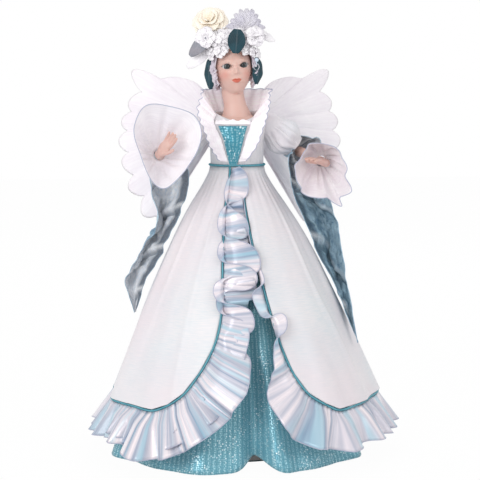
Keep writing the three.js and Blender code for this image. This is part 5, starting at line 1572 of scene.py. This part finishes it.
class ANGEL_OT_head(AngelOperator, bpy.types.Operator):
    """Bisque head with its neck and shoulder plate, glass eyes and lashes"""
    bl_idname = "angel.head"
    bl_label = "Head"

    def execute(self, context):
        bm = bmesh.new()
        skull = bmesh.ops.create_uvsphere(bm, u_segments=200, v_segments=140, radius=1)["verts"]
        for vert in skull:
            vert.co = HEAD_MATRIX @ face_point(vert.co.normalized())
        self.neck(bm)
        head = fused("bisque_head", bm, 0.00046, "bisque")
        masks = [face_paint(HEAD_INVERSE @ (vert.co / MM)) for vert in head.data.vertices]
        for i, mask in enumerate(FACE_MASKS):
            layer = head.data.attributes.new(mask, "FLOAT", "POINT")
            layer.data.foreach_set("value", [values[i] for values in masks])
        set_piece(head, "figure", "bisque", "shoulder_head")
        for word, side in (("right", -1), ("left", 1)):
            self.eye(word, side)
        return {"FINISHED"}

    def neck(self, bm):
        def lean(z):
            return smooth((z - 344) / 28)

        def neck_at(u, v):
            angle = 2 * math.pi * u
            z = lerp(333, 380, v)
            slim = smooth((z - 340) / 19)
            radius = lerp(16, 11.3, slim)
            deep = radius * lerp(0.84, 1, slim)
            x = HEAD.x * lean(z) + radius * math.sin(angle)
            return Vector((x, 2 * lean(z) - deep * math.cos(angle), z))

        def plate_at(u, v):
            top = smooth((v - 0.75) / 0.25)
            z = lerp(PLATE_Z, NECKLINE_Z + 4, v)
            point = on_body(2 * math.pi * u, z, -0.2)
            rounding = 1 - 0.25 * top
            return clear_of_sleeves(Vector((point.x * rounding, point.y * rounding, z)))

        for at, sides, rows in ((neck_at, 48, 24), (plate_at, 96, 24)):
            shell = bmesh.new()
            add_grid(shell, at, sides, rows)
            close_holes(shell)
            point_out(shell, NECK_MIDDLE)
            take_in(bm, shell)

    def eye(self, word, side):
        radius = figure().eye / MM
        middle = Vector((side * EYE["spacing"] / 2, -EYE["set_back"], EYE["height"]))
        gaze = Matrix.Rotation(math.radians(90), 4, "X")

        def at(u, v):
            angle, polar_angle = 2 * math.pi * u, math.pi * v
            ring = radius * math.sin(polar_angle)
            ball = Vector((ring * math.cos(angle), ring * math.sin(angle), radius * math.cos(polar_angle)))
            return HEAD_MATRIX @ (middle + gaze @ ball)

        bm = bent_grid(at, 40, 40, flip=True)
        point_out(bm, HEAD_MATRIX @ middle)
        eye = make_object(f"{word}_glass_eye", bm, "eye_glass")
        set_piece(eye, "figure", "eye_glass", f"{word}_eye")
        bm = bmesh.new()
        lash = figure().lash / MM
        for i in range(LASHES):
            t = lerp(-1, 1, i / (LASHES - 1))
            x = middle.x + LIDS["half_width"] * t
            root = Vector((x, -20.0 + 0.9 * t * t, EYE["height"] + 2.65 * (1 - 0.75 * t * t)))
            sweep = Vector((0.9 * t, -1.0, 0.75)).normalized() * lash
            points = [root, root + sweep * 0.5, root + sweep + Vector((0, 0, 0.5))]
            add_tube(bm, lambda s: HEAD_MATRIX @ catmull(points, s), lambda s: 0.16 * (1 - 0.8 * s), 4, 4)
        set_piece(make_object(f"{word}_lashes", bm, "lash"), "figure", "hair")


class ANGEL_OT_hair(AngelOperator, bpy.types.Operator):
    """The wig: a cap of combed strands with locks and ringlets at the sides and the back"""
    bl_idname = "angel.hair"
    bl_label = "Hair"

    def execute(self, context):
        bm = bmesh.new()
        self.cap(bm)
        rng = random.Random(7)
        for i in range(LOCKS):
            angle = lerp(math.radians(68), math.radians(292), i / (LOCKS - 1))
            self.lock(bm, angle, figure().lock / MM, 1.3, rng.uniform(1.6, 2.4), rng)
        for turn in (-62, -69, -76):
            self.lock(bm, math.radians(turn), 0.28 * figure().lock / MM, 2.2, 3.5, rng)
        set_piece(make_object("silver_wig", bm, "hair"), "figure", "hair", "wig")
        return {"FINISHED"}

    def cap(self, bm):
        def at(u, v):
            angle = lerp(math.radians(60), math.radians(300), u)
            down = lerp(math.radians(10), math.radians(118), v)
            strands = 0.7 * math.sin(46 * angle + 4 * noise.noise(Vector((5 * u, 3 * v, 0))))
            grow = Vector((3.4, 4.2, 3.6)) + Vector((strands, strands, strands))
            d = Vector((math.sin(down) * math.sin(angle), -math.sin(down) * math.cos(angle), math.cos(down)))
            return HEAD_MATRIX @ Vector((d[k] * (SKULL[k] + grow[k]) for k in range(3)))

        shell = bmesh.new()
        add_grid(shell, at, 200, 40, cut=(0.12, 0.06))
        point_out(shell, HEAD)
        bmesh.ops.solidify(shell, geom=shell.faces[:], thickness=1.2)
        take_in(bm, shell)

    def lock(self, bm, angle, radius, swing, coils, rng):
        """A ringlet that hangs from the cap and coils as it falls."""
        drop = rng.uniform(20, 27)
        start = rng.uniform(4, 10)
        phase = rng.uniform(0, ANY_TURN)

        def path(t):
            z = start - drop * t
            d = math.sqrt(max(0.15, 1 - (z / (SKULL.z + 5)) ** 2))
            reach = Vector((math.sin(angle) * (SKULL.x + 4.0) * d, -math.cos(angle) * (SKULL.y + 4.4) * d, z))
            turn = 2 * math.pi * coils * t + phase
            coil = swing * smooth(3 * t)
            reach += Vector((math.cos(angle), math.sin(angle), 0)) * coil * math.cos(turn)
            reach += Vector((math.sin(angle), -math.cos(angle), 0)) * 0.6 * coil * math.sin(turn)
            return HEAD_MATRIX @ reach

        add_tube(bm, path, lambda t: radius * (0.6 + 0.5 * math.sin(math.pi * t)), 40, 10, twist=9.0, plies=4)


# Flowers

def flower_frame(facing):
    """Right, up and out of a flower that faces a direction."""
    out = Vector(facing).normalized()
    right = Vector((0, 0, 1)).cross(out).normalized()
    return right, out.cross(right), out


def add_petal(bm, centre, axes, angle, reach, width, rise, curl, crinkle, seed, across, along, pleats=0.0):
    """A petal from the middle of a flower.

    Rise lifts it, curl turns its tip back, crinkle waves its edge and pleats fold it along its length.
    """
    right, up, out = axes
    ahead = right * math.cos(angle) + up * math.sin(angle)
    aside = up * math.cos(angle) - right * math.sin(angle)

    def at(u, v):
        s = 2 * u - 1
        half = width / 2 * (0.15 + 0.85 * math.sin(math.pi * min(0.08 + 0.9 * v, 1)) ** 0.75)
        height = rise * math.sin(0.5 * math.pi * v) - curl * v ** 3
        cup = 0.22 * width * s * s * (1 - v)
        wave = crinkle * s * s * v * math.sin(11 * v + 2.2 * s + seed)
        ridge = pleats * v * math.cos(4 * math.pi * s)
        return centre + ahead * reach * v + aside * half * s + out * (height + cup + wave + ridge)

    add_grid(bm, at, across, along, cut=(width * MM, reach * MM))


LEAF_FOLD = 1.2


def leaf_surface(root, tip, facing, width):
    """A pointed, cupped blade from its root to its tip."""
    a, b = Vector(root), Vector(tip)
    along = b - a
    across = along.cross(Vector(facing)).normalized()
    out = across.cross(along).normalized()

    def at(u, v):
        s = 2 * u - 1
        half = width / 2 * (0.1 + 0.9 * math.sin(math.pi * (0.08 + 0.88 * v)) ** 0.8)
        rim = 0.5 * s * s * math.sin(14 * v + s)
        arch = 2 * math.sin(math.pi * v)
        height = arch - LEAF_FOLD * s * s + LEAF_FOLD * 0.5 * (1 - abs(s)) + rim
        return a.lerp(b, v) + across * half * s + out * height

    return at


class ANGEL_OT_headdress(AngelOperator, bpy.types.Operator):
    """Wreath of small flowers, cream rose, white lily, satin leaves, pearl and hoop"""
    bl_idname = "angel.headdress"
    bl_label = "Headdress"

    def execute(self, context):
        self.wreath()
        self.rose()
        self.lily()
        self.leaves()
        brow = [(-14, -22, 411), (-21, -20, 410), (-27, -15, 408)]
        temple = [(5, -22, 413), (11, -20, 411), (17, -16, 408)]
        self.florets("brow_florets", brow, "forehead_florets", 3)
        self.florets("temple_florets", temple, "side_florets", 5)
        self.drop()
        return {"FINISHED"}

    def floret(self, bm, centre, facing, radius, rng):
        """A small ruffled flower of five petals."""
        axes = flower_frame(facing)
        spin = rng.uniform(0, ANY_TURN)
        for i in range(5):
            angle = spin + 2 * math.pi * i / 5
            add_petal(bm, centre, axes, angle, radius, radius * 1.1, radius * 0.45, radius * 0.3,
                      radius * 0.14, rng.uniform(0, 6), 4, 5)

    def ruffled(self, bm, centre, facing, radius, spin):
        """An open flower of five broad petals with crinkled edges."""
        axes = flower_frame(facing)
        for i in range(5):
            add_petal(bm, centre, axes, spin + 2 * math.pi * i / 5, radius, 1.25 * radius, 0.35 * radius,
                      0.3 * radius, 0.2 * radius, 2 * i + spin, 10, 8)

    def wreath(self):
        bm = bmesh.new()
        centre, half = WREATH["centre"], WREATH["half"]
        rng = random.Random(11)
        count = WREATH["florets"]
        for i in range(count):
            z = 1 - 1.55 * (i + 0.5) / count
            ring = math.sqrt(max(0.0, 1 - z * z))
            turn = i * GOLDEN_TURN
            d = Vector((ring * math.cos(turn), ring * math.sin(turn), z))
            spot = centre + Vector((d[k] * (half[k] - WREATH["floret_depth"]) for k in range(3)))
            facing = HEAD_MATRIX.to_3x3() @ Vector((d[k] / half[k] for k in range(3)))
            self.floret(bm, HEAD_MATRIX @ spot, facing, figure().floret / MM * rng.uniform(0.75, 1.1), rng)
        for place, facing in (((-33, -17, 424), (-0.4, -1, 0.1)), ((16, -21, 425), (0.4, -1, 0.2))):
            for turn in (0.0, 0.6):
                self.ruffled(bm, Vector(place), facing, 11 * (1 - 0.4 * turn), turn)
        middle, axes = Vector((4, -22, 425)), flower_frame((0.1, -1, 0.9))
        for turn, reach, width in ((14, 27, 12), (165, 15, 9)):
            add_petal(bm, middle, axes, math.radians(turn), reach, width, 5, 8, 0.8, turn, 12, 12)
        cushion_half = half - Vector((1, 1, 1)) * WREATH["cushion_depth"]
        cushion = bmesh.ops.create_icosphere(bm, subdivisions=3, radius=1)["verts"]
        for vert in cushion:
            d = vert.co.normalized()
            vert.co = HEAD_MATRIX @ (centre + d * cushion_half)
        cloth_piece("flower_wreath", bm, ["petal"], figure().silk, "petal", "headdress_wreath")

    def rose(self):
        bm = bmesh.new()
        centre, axes = Vector((-28, -5, 440)), flower_frame((-0.25, -0.8, 0.6))
        # Petals of each whorl, with their reach, width, rise and curl
        whorls = [(3, 6, 10, 10, 0.0), (4, 10, 14, 9, 1.5), (5, 15, 19, 6.5, 3.0), (6, 19, 22, 3, 5.0)]
        for k, (petals, reach, width, rise, curl) in enumerate(whorls):
            for i in range(petals):
                add_petal(bm, centre, axes, 0.7 * k + 2 * math.pi * i / petals, reach, width, rise, curl, 0.6,
                          k + 2 * i, 10, 10)
        soften(cloth_piece("ivory_rose", bm, ["cream"], figure().petal, "cream", "cream_rose"))

    def lily(self):
        bm = bmesh.new()
        centre, axes = Vector((6, -9, 431)), flower_frame((0.1, -1, 0.4))
        fan = [(5, 22), (28, 20), (48, 22), (64, 24), (80, 23), (97, 22), (118, 19), (145, 17), (172, 19)]
        for turn, reach in fan:
            add_petal(bm, centre, axes, math.radians(turn), reach, 8.5, 8, 4, 1.0, turn, 16, 14, 0.9)
        for turn in (200, 250, 300):
            add_petal(bm, centre, axes, math.radians(turn), 13, 13, 9, 6, 1.0, turn, 16, 14, 0.5)
        right, up, out = axes
        for i in range(6):
            angle = 2 * math.pi * i / 6
            lean = right * math.cos(angle) + up * math.sin(angle)
            add_tube(bm, lambda t: centre + out * 12 * t + lean * 4.5 * t * t,
                     lambda t: 0.35 + 0.5 * smooth(5 * t - 4), 8, 6)
        soften(cloth_piece("white_lily", bm, ["lily"], figure().petal, "petal", "lily_blossom"))

    def leaves(self):
        blades = [
            ("leaf_front", (-2, -28, 432), (-4, -29.5, 408), (0, -1, 0), 18, "leaf"),
            ("leaf_right_upper", (-30, -18, 424), (-49, -12, 406), (-0.4, -1, 0.2), 14, "grey_leaf"),
            ("leaf_right_lower", (-29, -9, 402), (-28, -11, 372), (-0.6, -1, 0), 11, "leaf"),
            ("leaf_left", (20.2, -8, 404), (19, -12, 377), (0.5, -0.9, 0), 13, "leaf"),
            ("petal_right", (-29, -7, 411), (-51, -4, 394), (-0.3, -1, 0.3), 13, "petal"),
            ("petal_left", (20, -10, 428), (38, -8, 421), (0.2, -1, 0.4), 9, "petal"),
        ]
        for node, root, tip, facing, width, finish in blades:
            cut = (1, 1) if "leaf" in finish else (width * MM, 0.03)
            bm = bent_grid(leaf_surface(root, tip, facing, width), 16, 24, cut)
            slot = "leaf" if finish == "leaf" else "petal"
            cloth_piece(f"satin_{node}", bm, [finish], figure().leaf, slot, node)

    def florets(self, name, places, node, seed):
        rng = random.Random(seed)
        bm = bmesh.new()
        for place in places:
            facing = Vector(place) - HEAD
            facing.z *= 0.3
            for k in range(3):
                shift = Vector((rng.uniform(-3, 3), rng.uniform(-1, 1), rng.uniform(-3, 3)))
                self.floret(bm, Vector(place) + shift, facing + shift * 2, 5.2, rng)
        cloth_piece(name, bm, ["petal"], figure().silk, "petal", node)

    def drop(self):
        eye_z = HOOP["z"] + HOOP["radius"] - HOOP["wire"] - FIT + HOOP["eye"]
        bm = bmesh.new()
        top = Matrix.Translation((HOOP["x"], HOOP["y"], eye_z + HOOP["eye"] + HOOP["pearl"] - HOOP["wire"]))
        bmesh.ops.create_uvsphere(bm, u_segments=32, v_segments=24, radius=HOOP["pearl"], matrix=top)
        self.ring(bm, Vector((0, 1, 0)), eye_z, HOOP["eye"])
        set_piece(make_object("pearl_bead", bm, "pearl"), "figure", "pearl", "pearl_drop")
        bm = bmesh.new()
        self.ring(bm, Vector((HOOP["narrow"], 0, 0)), HOOP["z"], HOOP["radius"])
        set_piece(make_object("silver_hoop", bm, "silver"), "hoop", "steel", "hoop_drop")

    def ring(self, bm, across, z, radius):
        """A ring of wire; across is the direction that it spreads in."""
        middle = Vector((HOOP["x"], HOOP["y"], z))

        def path(t):
            angle = 2 * math.pi * t
            return middle + across * radius * math.cos(angle) + Vector((0, 0, radius * math.sin(angle)))

        add_tube(bm, path, HOOP["wire"], 40, 10, closed=True)


# Wings

class ANGEL_OT_wings(AngelOperator, bpy.types.Operator):
    """Padded plush wings with rows of rounded feathers"""
    bl_idname = "angel.wings"
    bl_label = "Wings"

    def execute(self, context):
        for word, side in (("right", -1), ("left", 1)):
            bm = bent_grid(self.surface(side), 260, 96, cut=(0.24, 0.24))
            bmesh.ops.recalc_face_normals(bm, faces=bm.faces)
            wing = make_object(f"{word}_plush_wing", bm, "plush")
            set_piece(wing, f"{word}_wing_body", "plush", f"{word}_wing")
        return {"FINISHED"}

    def edge(self, u):
        """A point of the outline, from the front edge round to the back, and how full its feather is."""
        lead, trail = 0.16, 0.88
        if u < lead:
            return catmull([Vector((s, z, 0)) for s, z in WING_LEAD], u / lead), 1.0
        if u >= trail:
            return catmull([Vector((s, z, 0)) for s, z in WING_TRAIL], (u - trail) / (1 - trail)), 1.0
        place = (u - lead) / (trail - lead) * len(WING_FEATHERS)
        i = int(place)
        t = place - i
        start = Vector((*(WING_FEATHERS[i - 1][1] if i else WING_LEAD[-1]), 0))
        tip, notch = (Vector((*point, 0)) for point in WING_FEATHERS[i])
        full = math.sin(math.pi * t)
        return start.lerp(notch, t) + (tip - (start + notch) / 2) * full ** 0.65, full

    def surface(self, side):
        thick = figure().wing / MM / 2
        relief = figure().feather / MM
        sweep = WING["sweep"]
        top, low = (Vector((s, z, 0)) for s, z in WING_ROOT)

        def at(u, w):
            face = 1 if w < 0.5 else -1
            v = 2 * w if w < 0.5 else 2 - 2 * w
            edge, full = self.edge(u)
            here = top.lerp(low, u).lerp(edge, v)
            angle = math.atan2(edge.y, edge.x)
            rim = math.sqrt(max(0.0, 1 - v ** 8)) * smooth(v * 12) * smooth(u * 40) * smooth((1 - u) * 40)
            rows = 0.0
            for row, start in enumerate((0.36, 0.62)):
                scallop = 0.06 * abs(math.sin((11 - 2 * row) * angle + row))
                rows += smooth((start + scallop - v) / 0.04)
            feather = 1 - 0.8 * smooth((v - 0.3) / 0.35) * (1 - full ** 0.55)
            off = face * rim * (thick * 0.95 * feather + relief * rows * 0.5)
            x = side * (WING["root"].x + here.x * math.cos(sweep) - off * math.sin(sweep))
            y = WING["root"].y + here.x * math.sin(sweep) + off * math.cos(sweep)
            return Vector((x, y, WING["root"].z + here.y))

        return at


class ANGEL_PT_panel(bpy.types.Panel):
    """Sizes, colours and makers of the figure"""
    bl_idname = "ANGEL_PT_panel"
    bl_label = "Angel figure"
    bl_space_type = "VIEW_3D"
    bl_region_type = "UI"
    bl_category = "Angel"

    def draw(self, context):
        layout = self.layout
        for maker in MAKERS:
            layout.operator(maker.bl_idname)
        for group in (context.scene.angel_gown, context.scene.angel_figure, context.scene.angel_colours):
            box = layout.box()
            for key in group.__annotations__:
                box.prop(group, key)


MAKERS = (
    ANGEL_OT_stage, ANGEL_OT_stand, ANGEL_OT_underskirt, ANGEL_OT_overskirt, ANGEL_OT_ruffles,
    ANGEL_OT_bodice, ANGEL_OT_sleeves, ANGEL_OT_hands, ANGEL_OT_head, ANGEL_OT_hair, ANGEL_OT_headdress,
    ANGEL_OT_wings,
)
GROUPS = {"angel_gown": GownSizes, "angel_figure": FigureSizes, "angel_colours": FinishColours}


def register():
    for group in GROUPS.values():
        bpy.utils.register_class(group)
    for maker in (*MAKERS, ANGEL_PT_panel):
        bpy.utils.register_class(maker)
    for name, group in GROUPS.items():
        setattr(bpy.types.Scene, name, bpy.props.PointerProperty(type=group))


def unregister():
    for name in GROUPS:
        delattr(bpy.types.Scene, name)
    for maker in (ANGEL_PT_panel, *reversed(MAKERS)):
        bpy.utils.unregister_class(maker)
    for group in reversed(GROUPS.values()):
        bpy.utils.unregister_class(group)


def main():
    register()
    make_finishes()
    bpy.ops.angel.stage()
    bpy.ops.angel.stand()
    bpy.ops.angel.underskirt()
    bpy.ops.angel.overskirt()
    bpy.ops.angel.ruffles()
    bpy.ops.angel.bodice()
    bpy.ops.angel.sleeves()
    bpy.ops.angel.hands()
    bpy.ops.angel.head()
    bpy.ops.angel.hair()
    bpy.ops.angel.headdress()
    bpy.ops.angel.wings()


if __name__ == "__main__":
    main()
